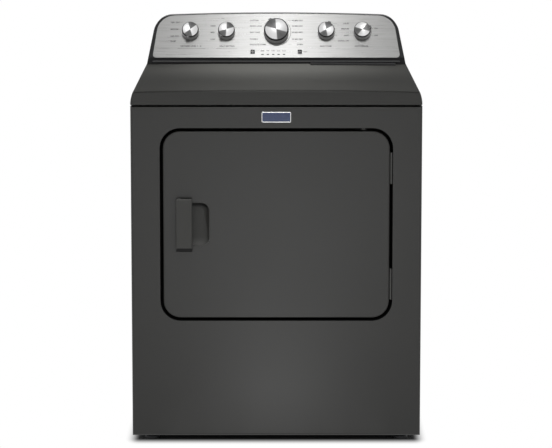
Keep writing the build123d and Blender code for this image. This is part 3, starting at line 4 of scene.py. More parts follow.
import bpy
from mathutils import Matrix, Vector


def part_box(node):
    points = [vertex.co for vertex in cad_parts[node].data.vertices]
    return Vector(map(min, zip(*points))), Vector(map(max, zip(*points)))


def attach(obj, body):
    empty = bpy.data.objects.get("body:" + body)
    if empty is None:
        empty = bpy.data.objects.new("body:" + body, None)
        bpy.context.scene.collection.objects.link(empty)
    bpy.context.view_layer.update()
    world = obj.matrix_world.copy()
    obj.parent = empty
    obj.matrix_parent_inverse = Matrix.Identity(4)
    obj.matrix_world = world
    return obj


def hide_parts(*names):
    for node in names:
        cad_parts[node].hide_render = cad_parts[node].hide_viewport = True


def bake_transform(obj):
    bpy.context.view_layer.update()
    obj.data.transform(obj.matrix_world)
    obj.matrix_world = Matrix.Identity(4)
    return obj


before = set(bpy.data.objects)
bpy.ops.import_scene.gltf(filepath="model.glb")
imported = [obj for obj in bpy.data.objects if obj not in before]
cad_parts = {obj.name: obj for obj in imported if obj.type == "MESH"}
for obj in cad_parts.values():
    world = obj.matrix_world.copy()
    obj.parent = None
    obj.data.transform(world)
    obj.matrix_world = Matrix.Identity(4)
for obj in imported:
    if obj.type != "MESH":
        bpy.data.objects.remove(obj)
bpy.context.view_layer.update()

import math

import bmesh
import bpy
from mathutils import Matrix, Vector


# Base pan, rear panel and chassis sheets: pressed and folded from 0.7 mm galvanised steel.
# They are left bare, so the zinc's crystals show as a patchwork of slightly different greys.

def colour(hex_text):
    channels = [int(hex_text[i:i + 2], 16) / 255 for i in (1, 3, 5)]
    linear = [c / 12.92 if c <= 0.04045 else ((c + 0.055) / 1.055) ** 2.4 for c in channels]
    return (*linear, 1.0)


def node(tree, kind, inputs=None, **settings):
    made = tree.nodes.new(kind)
    for name, value in settings.items():
        setattr(made, name, value)
    for name, value in (inputs or {}).items():
        if isinstance(value, bpy.types.NodeSocket):
            tree.links.new(value, made.inputs[name])
        else:
            made.inputs[name].default_value = value
    return made


def surface(name, **sockets):
    made = bpy.data.materials.new(name)
    made.use_nodes = True
    shader = made.node_tree.nodes["Principled BSDF"]
    for socket, value in sockets.items():
        shader.inputs[socket.replace("_", " ")].default_value = value
    return made, made.node_tree, shader


def dress(finish, *names):
    for name in names:
        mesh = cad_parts[name].data
        mesh.materials.clear()
        mesh.materials.append(finish)


# Galvanised steel: hot dipped, so it is a dull metal with crystals about 9 mm across.
SPANGLE = 0.009
galvanised, tree, shader = surface("galvanised_steel", Metallic=1.0, Roughness=0.42)
place = node(tree, "ShaderNodeTexCoord")
cells = node(tree, "ShaderNodeTexVoronoi",
             {"Vector": place.outputs["Object"], "Scale": 1 / SPANGLE})
grey = node(tree, "ShaderNodeValToRGB", {"Fac": cells.outputs["Color"]})
grey.color_ramp.elements[0].color = colour("#8E9294")
grey.color_ramp.elements[1].color = colour("#B3B7B8")
dull = node(tree, "ShaderNodeMapRange",
            {"Value": cells.outputs["Color"], "To Min": 0.36, "To Max": 0.5})
tree.links.new(grey.outputs["Color"], shader.inputs["Base Color"])
tree.links.new(dull.outputs["Result"], shader.inputs["Roughness"])
dress(galvanised, "base_pan", "rear_panel", "roller_shafts", "idler_arm")


# Rear panel: one sheet that closes the back, held by ten hex headed self tapping screws. Five
# pressed beads stiffen it, and eight slots let cooling air in, each under a hood that keeps drips
# out.

def growth(name, *sizes):
    """A new node tree that grows something on points, with one named input for each size."""
    tree = bpy.data.node_groups.new(name, "GeometryNodeTree")
    tree.interface.new_socket("Points", in_out="INPUT", socket_type="NodeSocketGeometry")
    for size in sizes:
        tree.interface.new_socket(size, in_out="INPUT", socket_type="NodeSocketFloat")
    tree.interface.new_socket("Geometry", in_out="OUTPUT", socket_type="NodeSocketGeometry")
    return tree, node(tree, "NodeGroupInput").outputs


def finish_growth(tree, grown, finish):
    """Ends a tree: instances made real, and the finish put on."""
    real = node(tree, "GeometryNodeRealizeInstances", {0: grown})
    dressed = node(tree, "GeometryNodeSetMaterial",
                   {"Geometry": real.outputs[0], "Material": finish})
    node(tree, "NodeGroupOutput", {0: dressed.outputs[0]})


def grow(name, tree, points, body, slot, **sizes):
    """Runs a tree on points and keeps what grows as a plain mesh, on one body where it is given."""
    host = bpy.data.meshes.new(name)
    host.from_pydata(points, [], [])
    made = bpy.data.objects.new(name, host)
    bpy.context.scene.collection.objects.link(made)
    growing = made.modifiers.new("growth", "NODES")
    growing.node_group = tree
    for item in tree.interface.items_tree:
        if item.in_out == "INPUT" and item.name in sizes:
            growing[item.identifier] = sizes[item.name]
    grown = made.evaluated_get(bpy.context.evaluated_depsgraph_get())
    mesh = bpy.data.meshes.new_from_object(grown)
    made.modifiers.remove(growing)
    made.data = mesh
    if body:
        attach(made, body)
    return made


BACKWARDS = (-math.pi / 2, 0.0, 0.0)
REAR = 0.342
FLANGE_T = 0.0008
HEAD_TOP_R = 0.0032
SCREW_SEED = 7
tree, size = growth("hex_screws", "Across", "Head", "Flange", "Shank", "Length")
flange = node(tree, "GeometryNodeMeshCone",
              {"Vertices": 28, "Radius Top": size["Across"], "Radius Bottom": size["Flange"],
               "Depth": FLANGE_T})
head = node(tree, "GeometryNodeMeshCone",
            {"Vertices": 6, "Radius Top": HEAD_TOP_R, "Radius Bottom": size["Across"],
             "Depth": size["Head"]})
shank = node(tree, "GeometryNodeMeshCylinder",
             {"Vertices": 12, "Radius": size["Shank"], "Depth": size["Length"]})
sunk = node(tree, "ShaderNodeMath", {0: size["Length"], 1: -0.5}, operation="MULTIPLY")
down = node(tree, "ShaderNodeCombineXYZ", {"Z": sunk.outputs[0]})
shank = node(tree, "GeometryNodeTransform",
             {"Geometry": shank.outputs["Mesh"], "Translation": down.outputs[0]})
screw = node(tree, "GeometryNodeJoinGeometry")
for piece in (flange.outputs["Mesh"], head.outputs["Mesh"], shank.outputs[0]):
    tree.links.new(piece, screw.inputs[0])
set_in = node(tree, "GeometryNodeInstanceOnPoints",
              {"Points": size["Points"], "Instance": screw.outputs[0], "Rotation": BACKWARDS})
turn = node(tree, "FunctionNodeRandomValue",
            {"Seed": SCREW_SEED, 2: 0.0, 3: math.pi / 3}, data_type="FLOAT")
spin = node(tree, "ShaderNodeCombineXYZ", {"Z": turn.outputs[1]})
driven = node(tree, "GeometryNodeRotateInstances",
              {"Instances": set_in.outputs[0], "Rotation": spin.outputs[0], "Local Space": True})
finish_growth(tree, driven.outputs[0], galvanised)
SCREW_R = 0.005
SCREWS_A_SIDE = 5
low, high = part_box("panel_screws")
climb = (high[2] - low[2] - 2 * SCREW_R) / (SCREWS_A_SIDE - 1)
spots = [(x, REAR, low[2] + SCREW_R + climb * step)
         for x in (low[0] + SCREW_R, high[0] - SCREW_R) for step in range(SCREWS_A_SIDE)]
screws = grow("panel_screws_hex", tree, spots, "cabinet", "galvanised_steel",
              Across=0.0038, Head=0.0025, Flange=SCREW_R, Shank=0.002, Length=0.0065)
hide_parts("panel_screws")


def pressing(name, lip):
    """A tree for forms pressed out of the sheet: closed beads, or hoods that stand open below."""
    tree, size = growth(name, "Length", "Width", "Height", "Sheet")
    blank = node(tree, "GeometryNodeMeshGrid",
                 {"Size X": size["Length"], "Size Y": size["Width"], "Vertices X": 61,
                  "Vertices Y": 11})
    at = node(tree, "ShaderNodeSeparateXYZ",
              {0: node(tree, "GeometryNodeInputPosition").outputs[0]})
    along = node(tree, "ShaderNodeMath", {0: at.outputs["X"]}, operation="ABSOLUTE")
    end = node(tree, "ShaderNodeMath", {0: size["Length"], 1: 0.5}, operation="MULTIPLY")
    start = node(tree, "ShaderNodeMath",
                 {0: end.outputs[0], 1: size["Width"]}, operation="SUBTRACT")
    closing = node(tree, "ShaderNodeMapRange",
                   {"Value": along.outputs[0], "From Min": start.outputs[0],
                    "From Max": end.outputs[0], "To Min": 1.0, "To Max": 0.0},
                   interpolation_type="SMOOTHSTEP")
    across = node(tree, "ShaderNodeMath",
                  {0: at.outputs["Y"], 1: size["Width"]}, operation="DIVIDE")
    if not lip:
        across = node(tree, "ShaderNodeMath", {0: across.outputs[0]}, operation="ABSOLUTE")
    bulge = node(tree, "ShaderNodeMapRange",
                 {"Value": across.outputs[0], "From Min": 0.5, "From Max": -0.5 if lip else 0.1},
                 interpolation_type="SMOOTHSTEP")
    rise = node(tree, "ShaderNodeMath",
                {0: closing.outputs[0], 1: bulge.outputs[0]}, operation="MULTIPLY")
    rise = node(tree, "ShaderNodeMath",
                {0: rise.outputs[0], 1: size["Height"]}, operation="MULTIPLY")
    out = node(tree, "ShaderNodeCombineXYZ", {"Z": rise.outputs[0]})
    pressed = node(tree, "GeometryNodeSetPosition",
                   {"Geometry": blank.outputs["Mesh"], "Offset": out.outputs[0]})
    inside = node(tree, "GeometryNodeFlipFaces", {0: pressed.outputs[0]})
    thick = node(tree, "GeometryNodeExtrudeMesh",
                 {"Mesh": pressed.outputs[0], "Offset": (0.0, 0.0, 1.0),
                  "Offset Scale": size["Sheet"], "Individual": False})
    shell = node(tree, "GeometryNodeJoinGeometry")
    for piece in (inside.outputs[0], thick.outputs["Mesh"]):
        tree.links.new(piece, shell.inputs[0])
    sealed = node(tree, "GeometryNodeMergeByDistance", {0: shell.outputs[0], "Distance": 0.00001})
    smooth = node(tree, "GeometryNodeSetShadeSmooth", {0: sealed.outputs[0], "Shade Smooth": True})
    laid = node(tree, "GeometryNodeInstanceOnPoints",
                {"Points": size["Points"], "Instance": smooth.outputs[0],
                 "Rotation": (math.pi / 2, 0.0, math.pi)})
    finish_growth(tree, laid.outputs[0], galvanised)
    return tree


HOODS, HOODS_MIDDLE, HOODS_FOOT, HOOD_PITCH = 8, 0.190, 0.641, 0.016
spots = [(HOODS_MIDDLE, REAR, HOODS_FOOT + HOOD_PITCH * step) for step in range(HOODS)]
grow("vent_hoods", pressing("vent_hood", True), spots, "cabinet", "galvanised_steel",
     Length=0.118, Width=0.0105, Height=0.0042, Sheet=0.0006)
RIBS, RIBS_FOOT, RIB_PITCH = 5, 0.262, 0.066
spots = [(0.0, REAR, RIBS_FOOT + RIB_PITCH * step) for step in range(RIBS)]
grow("rear_beads", pressing("stiffening_bead", False), spots, "cabinet", "galvanised_steel",
     Length=0.56, Width=0.016, Height=0.0026, Sheet=0.0004)


# Levelling feet: a nylon pad moulded round a plated stud, screwed into the base pan's corners.
# The pad is black, with the fine even texture of its mould.

def grained(name, dark, light, grain, depth, stretch=(1.0, 1.0, 1.0), **sockets):
    """A finish with specks of one grain between two tones, in relief of one depth, in metres."""
    made, tree, shader = surface(name, **sockets)
    place = node(tree, "ShaderNodeTexCoord")
    lie = node(tree, "ShaderNodeMapping", {"Vector": place.outputs["Object"], "Scale": stretch})
    specks = node(tree, "ShaderNodeTexNoise",
                  {"Vector": lie.outputs["Vector"], "Scale": 1 / grain, "Detail": 4.0})
    tone = node(tree, "ShaderNodeValToRGB", {"Fac": specks.outputs["Fac"]})
    for stop, place_on_ramp, tint in zip(tone.color_ramp.elements, (0.3, 0.7), (dark, light)):
        stop.position = place_on_ramp
        stop.color = colour(tint)
    relief = node(tree, "ShaderNodeBump",
                  {"Height": specks.outputs["Fac"], "Strength": 0.3, "Distance": depth})
    tree.links.new(tone.outputs["Color"], shader.inputs["Base Color"])
    tree.links.new(relief.outputs["Normal"], shader.inputs["Normal"])
    return made


# Nylon: glass filled and moulded, dull black, with a grain of about 1 mm.
nylon = grained("moulded_black_nylon", "#17181A", "#26272A", 0.001, 0.0002, Roughness=0.55)
dress(nylon, "foot_front_left", "foot_front_right", "foot_rear_left", "foot_rear_right")


# Drum and its bearings: two steel bulkheads carry felt rings that the drum's ends run in, and two
# rollers take its weight. Drum and bulkheads are coated in pale baked enamel, against rust.

# Baked enamel: pale grey, smooth and half glossy, with a faint flow mark every 25 mm or so.
pale_enamel = grained("pale_baked_enamel", "#BFC2C1", "#CBCDCC", 0.025, 0.0001, Roughness=0.32)
dress(pale_enamel, "drum", "front_bulkhead", "rear_bulkhead")

# Baffle: polypropylene, moulded in a paler grey, with a soft sheen.
polypropylene = grained("moulded_pale_polypropylene", "#A9ACAB", "#B6B8B7", 0.002, 0.0001,
                        Roughness=0.45)
dress(polypropylene, "drum_baffles")

# Felt: pressed wool, pale and dull, with fibres a millimetre or two long.
felt = grained("pressed_wool_felt", "#A39E92", "#D6D1C6", 0.0012, 0.0006, (1.0, 0.4, 1.0),
               Roughness=0.95)
dress(felt, "felt_seals")

# Rubber: black, matt, a little greyed by use.
rubber = grained("black_rubber", "#161617", "#232324", 0.0015, 0.0002, Roughness=0.75)
dress(rubber, "support_roller_left", "support_roller_right", "drum_belt", "door_seal")


# Drive: an induction motor turns the drum by a flat ribbed belt, kept tight by a sprung idler,
# and turns the blower wheel on the other end of its shaft.

# Bright steel: turned and zinc plated, with fine marks of the tool along it.
bright_steel = grained("plated_turned_steel", "#8F9396", "#AEB2B4", 0.0008, 0.00005,
                       (1.0, 0.2, 1.0), Metallic=1.0, Roughness=0.3)
dress(bright_steel, "motor_shaft", "door_strike")

# Idler spring: a close coil of spring wire between the base pan and the tension arm, hooked into
# both.
SPRING_WIRE = 0.0009
SPRING_TURNS = 22.0
tree, size = growth("wire_coil", "Turns", "Radius", "Wire", "Height")
coil = node(tree, "GeometryNodeCurveSpiral",
            {"Resolution": 20, "Rotations": size["Turns"], "Start Radius": size["Radius"],
             "End Radius": size["Radius"], "Height": size["Height"]})
wire = node(tree, "GeometryNodeCurvePrimitiveCircle", {"Resolution": 8, "Radius": size["Wire"]})
wound = node(tree, "GeometryNodeCurveToMesh",
             {"Curve": coil.outputs["Curve"], "Profile Curve": wire.outputs["Curve"],
              "Fill Caps": True})
set_in = node(tree, "GeometryNodeInstanceOnPoints",
              {"Points": size["Points"], "Instance": wound.outputs["Mesh"]})
finish_growth(tree, set_in.outputs[0], bright_steel)
low, high = (Vector(corner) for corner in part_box("idler_spring"))
foot = Vector(((low.x + high.x) / 2, (low.y + high.y) / 2, low.z))
start = foot + Vector((0.0, 0.0, SPRING_WIRE))
spring = grow("idler_spring_coil", tree, [start], None, "bright_steel",
              Turns=SPRING_TURNS, Radius=(high.x - low.x) / 2 - SPRING_WIRE, Wire=SPRING_WIRE,
              Height=high.z - low.z - 2 * SPRING_WIRE)
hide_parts("idler_spring")
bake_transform(spring)

# Motor shell: rolled steel in black air dried paint, slightly rough.
motor_paint = grained("black_motor_paint", "#1C1D1F", "#2A2B2D", 0.004, 0.0003, Roughness=0.5)
dress(motor_paint, "motor_housing")
dress(nylon, "idler_pulley")


# Air path: hot air comes up from the heater box, through the drum, down the lint chute past the
# lint screen, and the blower pushes it out of the exhaust pipe at the back.

# Duct plastic: talc filled polypropylene, mid grey, dull.
duct_plastic = grained("filled_grey_polypropylene", "#4A4D4F", "#585B5D", 0.003, 0.0002,
                       Roughness=0.6)
dress(duct_plastic, "lint_chute", "blower_housing", "blower_wheel")

# Aluminised steel: rolled, satin, with streaks along the sheet.
aluminised = grained("aluminised_steel", "#9A9C9B", "#B9BAB8", 0.004, 0.00005, (0.1, 1.0, 1.0),
                     Metallic=1.0, Roughness=0.38)
dress(aluminised, "heater_box", "exhaust_pipe", "thermostats")

# Heating wire: nickel chrome, browned by heat.
heating_wire = grained("heat_browned_wire", "#4B4038", "#6E5C4E", 0.006, 0.0001, Metallic=1.0,
                       Roughness=0.5)
dress(heating_wire, "heater_element")

# Mesh cloth: woven polyester stretched over the screen's frame, threads about 1 mm apart so that
# they show here, where the real ones are finer.
THREAD_PITCH = 0.001
mesh_cloth, tree, shader = surface("woven_polyester_mesh", Roughness=0.8)
place = node(tree, "ShaderNodeTexCoord")
weave = node(tree, "ShaderNodeTexChecker",
             {"Vector": place.outputs["Object"], "Scale": 1 / THREAD_PITCH,
              "Color1": colour("#6F7375"), "Color2": colour("#8B8F90")})
tree.links.new(weave.outputs["Color"], shader.inputs["Base Color"])
dress(mesh_cloth, "lint_screen_mesh")


# Wiring: a terminal block under its cover on the back, a control board and rotary switches in
# the console, and a switch with its plunger above the door.

# Switch plastic: phenolic moulding, near black, with a slight gloss.
phenolic = grained("moulded_phenolic", "#1E1D1C", "#2B2A28", 0.002, 0.0001, Roughness=0.4)
dress(phenolic, "terminal_block", "rotary_switches", "door_switch", "door_catch")

# Plunger: natural acetal, a translucent looking pale grey.
acetal = grained("natural_acetal", "#8E908E", "#A0A29F", 0.003, 0.00005, Roughness=0.35)
dress(acetal, "door_switch_plunger")

# Board: glass epoxy under green solder resist, with the weave just showing.
board = grained("green_glass_epoxy", "#1E4A2C", "#276038", 0.0015, 0.00005, Roughness=0.35)
dress(board, "control_board")
dress(galvanised, "terminal_cover")


# Cabinet sheets: the front with its door recess, two sides and the crowned top, drawn from thin
# cold rolled steel. They are phosphated, sprayed and baked in one colour before they are put up.

# Enamel paint: dark grey. Its skin has the slight waviness of sprayed paint, drawn every 6 mm so
# that it shows, and the film drifts over a hand's breadth. The top is fog sprayed and matt, against
# fingerprints, with the gloss of the front only on its apron.
ORANGE_PEEL = 0.006
DRIFT = 0.12


def sprayed_enamel(name, dark, light, smooth, dull, wave, shine):
    made, tree, shader = surface(name, Specular_IOR_Level=shine)
    place = node(tree, "ShaderNodeTexCoord")
    drift = node(tree, "ShaderNodeTexNoise",
                 {"Vector": place.outputs["Object"], "Scale": 1 / DRIFT, "Detail": 2.0})
    shade = node(tree, "ShaderNodeValToRGB", {"Fac": drift.outputs["Fac"]})
    shade.color_ramp.elements[0].color = colour(dark)
    shade.color_ramp.elements[1].color = colour(light)
    gloss = node(tree, "ShaderNodeMapRange",
                 {"Value": drift.outputs["Fac"], "To Min": smooth, "To Max": dull})
    peel = node(tree, "ShaderNodeTexNoise",
                {"Vector": place.outputs["Object"], "Scale": 1 / ORANGE_PEEL, "Detail": 1.0})
    skin = node(tree, "ShaderNodeBump",
                {"Height": peel.outputs["Fac"], "Strength": wave, "Distance": 0.0004})
    tree.links.new(shade.outputs["Color"], shader.inputs["Base Color"])
    tree.links.new(gloss.outputs["Result"], shader.inputs["Roughness"])
    tree.links.new(skin.outputs["Normal"], shader.inputs["Normal"])
    return made, tree, shader


enamel, _, _ = sprayed_enamel("dark_sprayed_enamel", "#232321", "#282826", 0.28, 0.34, 0.06, 0.4)
top_enamel, tree, shader = sprayed_enamel("dark_fog_sprayed_enamel", "#2E2E2C", "#333331",
                                          0.82, 0.9, 0.15, 0.06)
shader.inputs["Coat Roughness"].default_value = 0.3
lie = node(tree, "ShaderNodeTexCoord")
rise = node(tree, "ShaderNodeSeparateXYZ", {0: lie.outputs["Normal"]})
lacquer = node(tree, "ShaderNodeMapRange",
               {"Value": rise.outputs["Z"], "From Min": 0.3, "From Max": 0.7,
                "To Min": 0.5, "To Max": 0.0})
tree.links.new(lacquer.outputs["Result"], shader.inputs["Coat Weight"])
dress(enamel, "front_panel", "side_panel_left", "side_panel_right")
dress(top_enamel, "top_panel")

# Lint screen's frame: moulded in dark plastic. Its handle stands just proud of the top panel.
dark_abs = grained("moulded_dark_abs", "#1F1F20", "#2A2A2B", 0.0015, 0.0001, Roughness=0.45)
dress(dark_abs, "lint_screen_frame")


# Console: a moulded shell on the back of the top panel, closed behind by a cover. Its sloping face
# has a pocket that the metal fascia is stuck into, flush all round.

# Console plastic: ABS moulded in near black, with the even fine grain of an etched mould.
console_abs = grained("etched_black_abs", "#161617", "#202021", 0.0012, 0.0001, Roughness=0.5,
                      Specular_IOR_Level=0.25)
dress(console_abs, "console_housing", "console_back_cover")


def keep(name, shape, finishes, body):
    """Turns a finished bmesh into a piece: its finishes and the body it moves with."""
    mesh = bpy.data.meshes.new(name)
    shape.to_mesh(mesh)
    shape.free()
    made = bpy.data.objects.new(name, mesh)
    bpy.context.scene.collection.objects.link(made)
    for finish in finishes:
        mesh.materials.append(finish)
    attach(made, body)
    return made


# Bead along the console's foot: moulded with the housing. Its colour is a shade paler than the
# housing's, a painted light for the light its upper side catches. Its ends are rounded off.
bead_painted_light = grained("black_abs_painted_paler", "#3A3A3B", "#444445", 0.0015, 0.00005, Roughness=0.42)
CONSOLE_FRONT = 0.250
BEAD_SIDE, BEAD_FOOT, BEAD_HEIGHT, BEAD_PROUD = 0.341, 0.9342, 0.0054, 0.0016
BEAD_SUNK = 0.0003
BEAD_END = 0.006
BEAD_TIP = 0.12
ARC_STEPS, END_STEPS, RUN_STEPS = 10, 6, 24
angles = [math.pi * i / ARC_STEPS for i in range(ARC_STEPS + 1)]
section = [Vector((CONSOLE_FRONT + BEAD_SUNK - (BEAD_PROUD + BEAD_SUNK) * math.sin(angle),
                   BEAD_FOOT + BEAD_HEIGHT * (1 - math.cos(angle)) / 2)) for angle in angles]
middle = sum(section, Vector((0.0, 0.0))) / len(section)
ends = [BEAD_SIDE - BEAD_END * (1 - math.cos(math.pi / 2 * i / END_STEPS))
        for i in range(END_STEPS + 1)]
run = 2 * (BEAD_SIDE - BEAD_END)
stations = [-x for x in ends]
stations += [BEAD_END - BEAD_SIDE + run * i / RUN_STEPS for i in range(1, RUN_STEPS)]
stations += ends[::-1]
shape = bmesh.new()
rings = []
for x in stations:
    inset = 1 - min(BEAD_SIDE - abs(x), BEAD_END) / BEAD_END
    share = max(BEAD_TIP, math.sqrt(max(0.0, 1 - inset * inset)))
    rings.append([shape.verts.new((x, *(middle + (point - middle) * share))) for point in section])
for low, high in zip(rings, rings[1:]):
    for i in range(len(low)):
        j = (i + 1) % len(low)
        shape.faces.new((low[i], low[j], high[j], high[i]))
shape.faces.new(rings[0])
shape.faces.new(rings[-1])
bmesh.ops.recalc_face_normals(shape, faces=shape.faces)
keep("console_bead", shape, (bead_painted_light,), "cabinet")

FASCIA_LEAN = math.radians(26.0)
FASCIA_FOOT = Vector((0.0, CONSOLE_FRONT, 0.948))
UP_SLOPE = Vector((0.0, math.sin(FASCIA_LEAN), math.cos(FASCIA_LEAN)))
OUT = Vector((0.0, -math.cos(FASCIA_LEAN), math.sin(FASCIA_LEAN)))


def on_fascia(across, up, out=0.0):
    """Places a thing drawn flat in x and y on the fascia, in millimetres from its foot's middle."""
    turn = Matrix(((1.0, UP_SLOPE.x, OUT.x), (0.0, UP_SLOPE.y, OUT.y), (0.0, UP_SLOPE.z, OUT.z)))
    spot = FASCIA_FOOT + Vector((across / 1000, 0.0, 0.0))
    spot = spot + UP_SLOPE * (up / 1000) + OUT * (out / 1000)
    return Matrix.Translation(spot) @ turn.to_4x4()


# Fascia: aluminium sheet brushed from side to side, then clear anodised. The brushing shows as
# long fine lines about 1.2 mm apart, coarser than the real ones so that they show, and it spreads
# what the metal mirrors up and down.
BRUSH_LINE = 0.0012
BRUSH_RUN = 0.09
brushed, tree, shader = surface("brushed_anodised_aluminium", Metallic=1.0, Roughness=0.34,
                                Anisotropic=0.8)
place = node(tree, "ShaderNodeTexCoord")
along = node(tree, "ShaderNodeMapping",
             {"Vector": place.outputs["Object"], "Scale": (BRUSH_LINE / BRUSH_RUN, 1.0, 1.0)})
lines = node(tree, "ShaderNodeTexNoise",
             {"Vector": along.outputs["Vector"], "Scale": 1 / BRUSH_LINE, "Detail": 3.0,
              "Roughness": 0.7})
silver = node(tree, "ShaderNodeValToRGB", {"Fac": lines.outputs["Fac"]})
for stop, where, tint in zip(silver.color_ramp.elements, (0.3, 0.7), ("#858584", "#969695")):
    stop.position = where
    stop.color = colour(tint)
rough = node(tree, "ShaderNodeMapRange",
             {"Value": lines.outputs["Fac"], "To Min": 0.25, "To Max": 0.32})
groove = node(tree, "ShaderNodeBump",
              {"Height": lines.outputs["Fac"], "Strength": 0.07, "Distance": 0.0002})
tree.links.new(silver.outputs["Color"], shader.inputs["Base Color"])
tree.links.new(rough.outputs["Result"], shader.inputs["Roughness"])
tree.links.new(groove.outputs["Normal"], shader.inputs["Normal"])
upward = node(tree, "ShaderNodeCombineXYZ",
              {"Y": math.sin(FASCIA_LEAN), "Z": math.cos(FASCIA_LEAN)})
tree.links.new(upward.outputs["Vector"], shader.inputs["Tangent"])
dress(brushed, "fascia")

# Indicator lenses: smoked polycarbonate, snapped in flush from behind.
lens = grained("smoked_polycarbonate", "#262728", "#2E2F30", 0.002, 0.00002, Roughness=0.4,
               Specular_IOR_Level=0.25)
dress(lens, "indicator_lenses")

# Push buttons: ABS, dark grey, with a fine etched face.
button_abs = grained("etched_dark_button_abs", "#2B2B2D", "#353537", 0.0008, 0.00005, Roughness=0.4)
dress(button_abs, "start_button", "option_button")


# Knobs: a zinc die casting with a spun bright face let into it, pushed on a switch shaft. Below
# the face's dark rim runs a black groove, then the silver skirt, and a tab points to the scale.

# Spun face: bright aluminium turned on a lathe. Its colour carries a painted reflection: wedges that
# turn with the knob, two grey ones along the pointer and two bright ones across it.
WEDGE = 62.0 / 360
WEDGE_EDGE = 0.02
SEAM = 0.92


def spun_face(name, sheen):
    """The spun metal at one brightness, with its two grey wedges of painted reflection."""
    made, tree, shader = surface(name, Metallic=1.0, Roughness=0.3)
    face_map = node(tree, "ShaderNodeUVMap", uv_map="face")
    centred = node(tree, "ShaderNodeMapping",
                   {"Vector": face_map.outputs["UV"], "Location": (-0.5, -0.5, 0.0)})
    sweep = node(tree, "ShaderNodeTexGradient",
                 {"Vector": centred.outputs["Vector"]}, gradient_type="RADIAL")
    painted_reflection_wedges = node(tree, "ShaderNodeValToRGB", {"Fac": sweep.outputs["Fac"]})
    ramp = painted_reflection_wedges.color_ramp
    for stop, where in zip(ramp.elements, (0.0, 1.0)):
        stop.position = where
        stop.color = (sheen * SEAM, sheen * SEAM, sheen * SEAM, 1.0)
    # Painted reflection: two grey wedges, each between bright colour on either side.
    for middle, start, end in ((0.25, 0.95, 0.78), (0.75, 0.84, 0.98)):
        for shift, level in ((-WEDGE / 2 - WEDGE_EDGE, start), (-WEDGE / 2, 0.2), (0.0, 0.15),
                             (WEDGE / 2, 0.21), (WEDGE / 2 + WEDGE_EDGE, end)):
            grey = sheen * level
            ramp.elements.new(middle + shift).color = (grey, grey, grey, 1.0)
    ramp.elements.new(0.5).color = (sheen, sheen, sheen, 1.0)
    rings = node(tree, "ShaderNodeTexWave",
                 {"Vector": centred.outputs["Vector"], "Scale": 16.0, "Distortion": 0.0},
                 wave_type="RINGS", rings_direction="Z")
    turned = node(tree, "ShaderNodeBump",
                  {"Height": rings.outputs["Fac"], "Strength": 0.05, "Distance": 0.0002})
    tree.links.new(painted_reflection_wedges.outputs["Color"], shader.inputs["Base Color"])
    tree.links.new(turned.outputs["Normal"], shader.inputs["Normal"])
    return made


spun_large = spun_face("spun_aluminium_large", 0.60)
spun_small = spun_face("spun_aluminium_small", 0.62)

# Rim and skirt: the casting is sprayed in satin silver on the skirt and plated in dark nickel on
# its rim and on the tab's top. The groove is painted near black, a painted shade for the shadow
# line under the rim.
rim_plate = grained("dark_nickel_rim", "#4A4A4A", "#585858", 0.003, 0.00002, Metallic=1.0,
                    Roughness=0.3)
skirt_plate = grained("satin_silver_skirt_paint", "#C4C4C5", "#D0D0D1", 0.001, 0.00003,
                      (1.0, 1.0, 0.3), Roughness=0.4)
groove_painted_shade = grained("black_groove_painted_shade", "#0E0E0F", "#181819", 0.001, 0.00005, Roughness=0.5)

FACE, RIM, GROOVE, SKIRT = range(4)
KNOB_ROW = 75.5
KNOB_LIFT = 0.6
KNOB_TURNS = 96
CAP_SHARE = 0.885
FACE_SUNK = 0.2
FOOT_ROUND = 0.8
TAB_WIDTH, TAB_REACH, TAB_ROOT = 11.0, 2.4, 6.0
TAB_TOP, TAB_FOOT, TAB_ROUND = 0.95, 0.5, 0.8
TAB_PLATED = 0.85


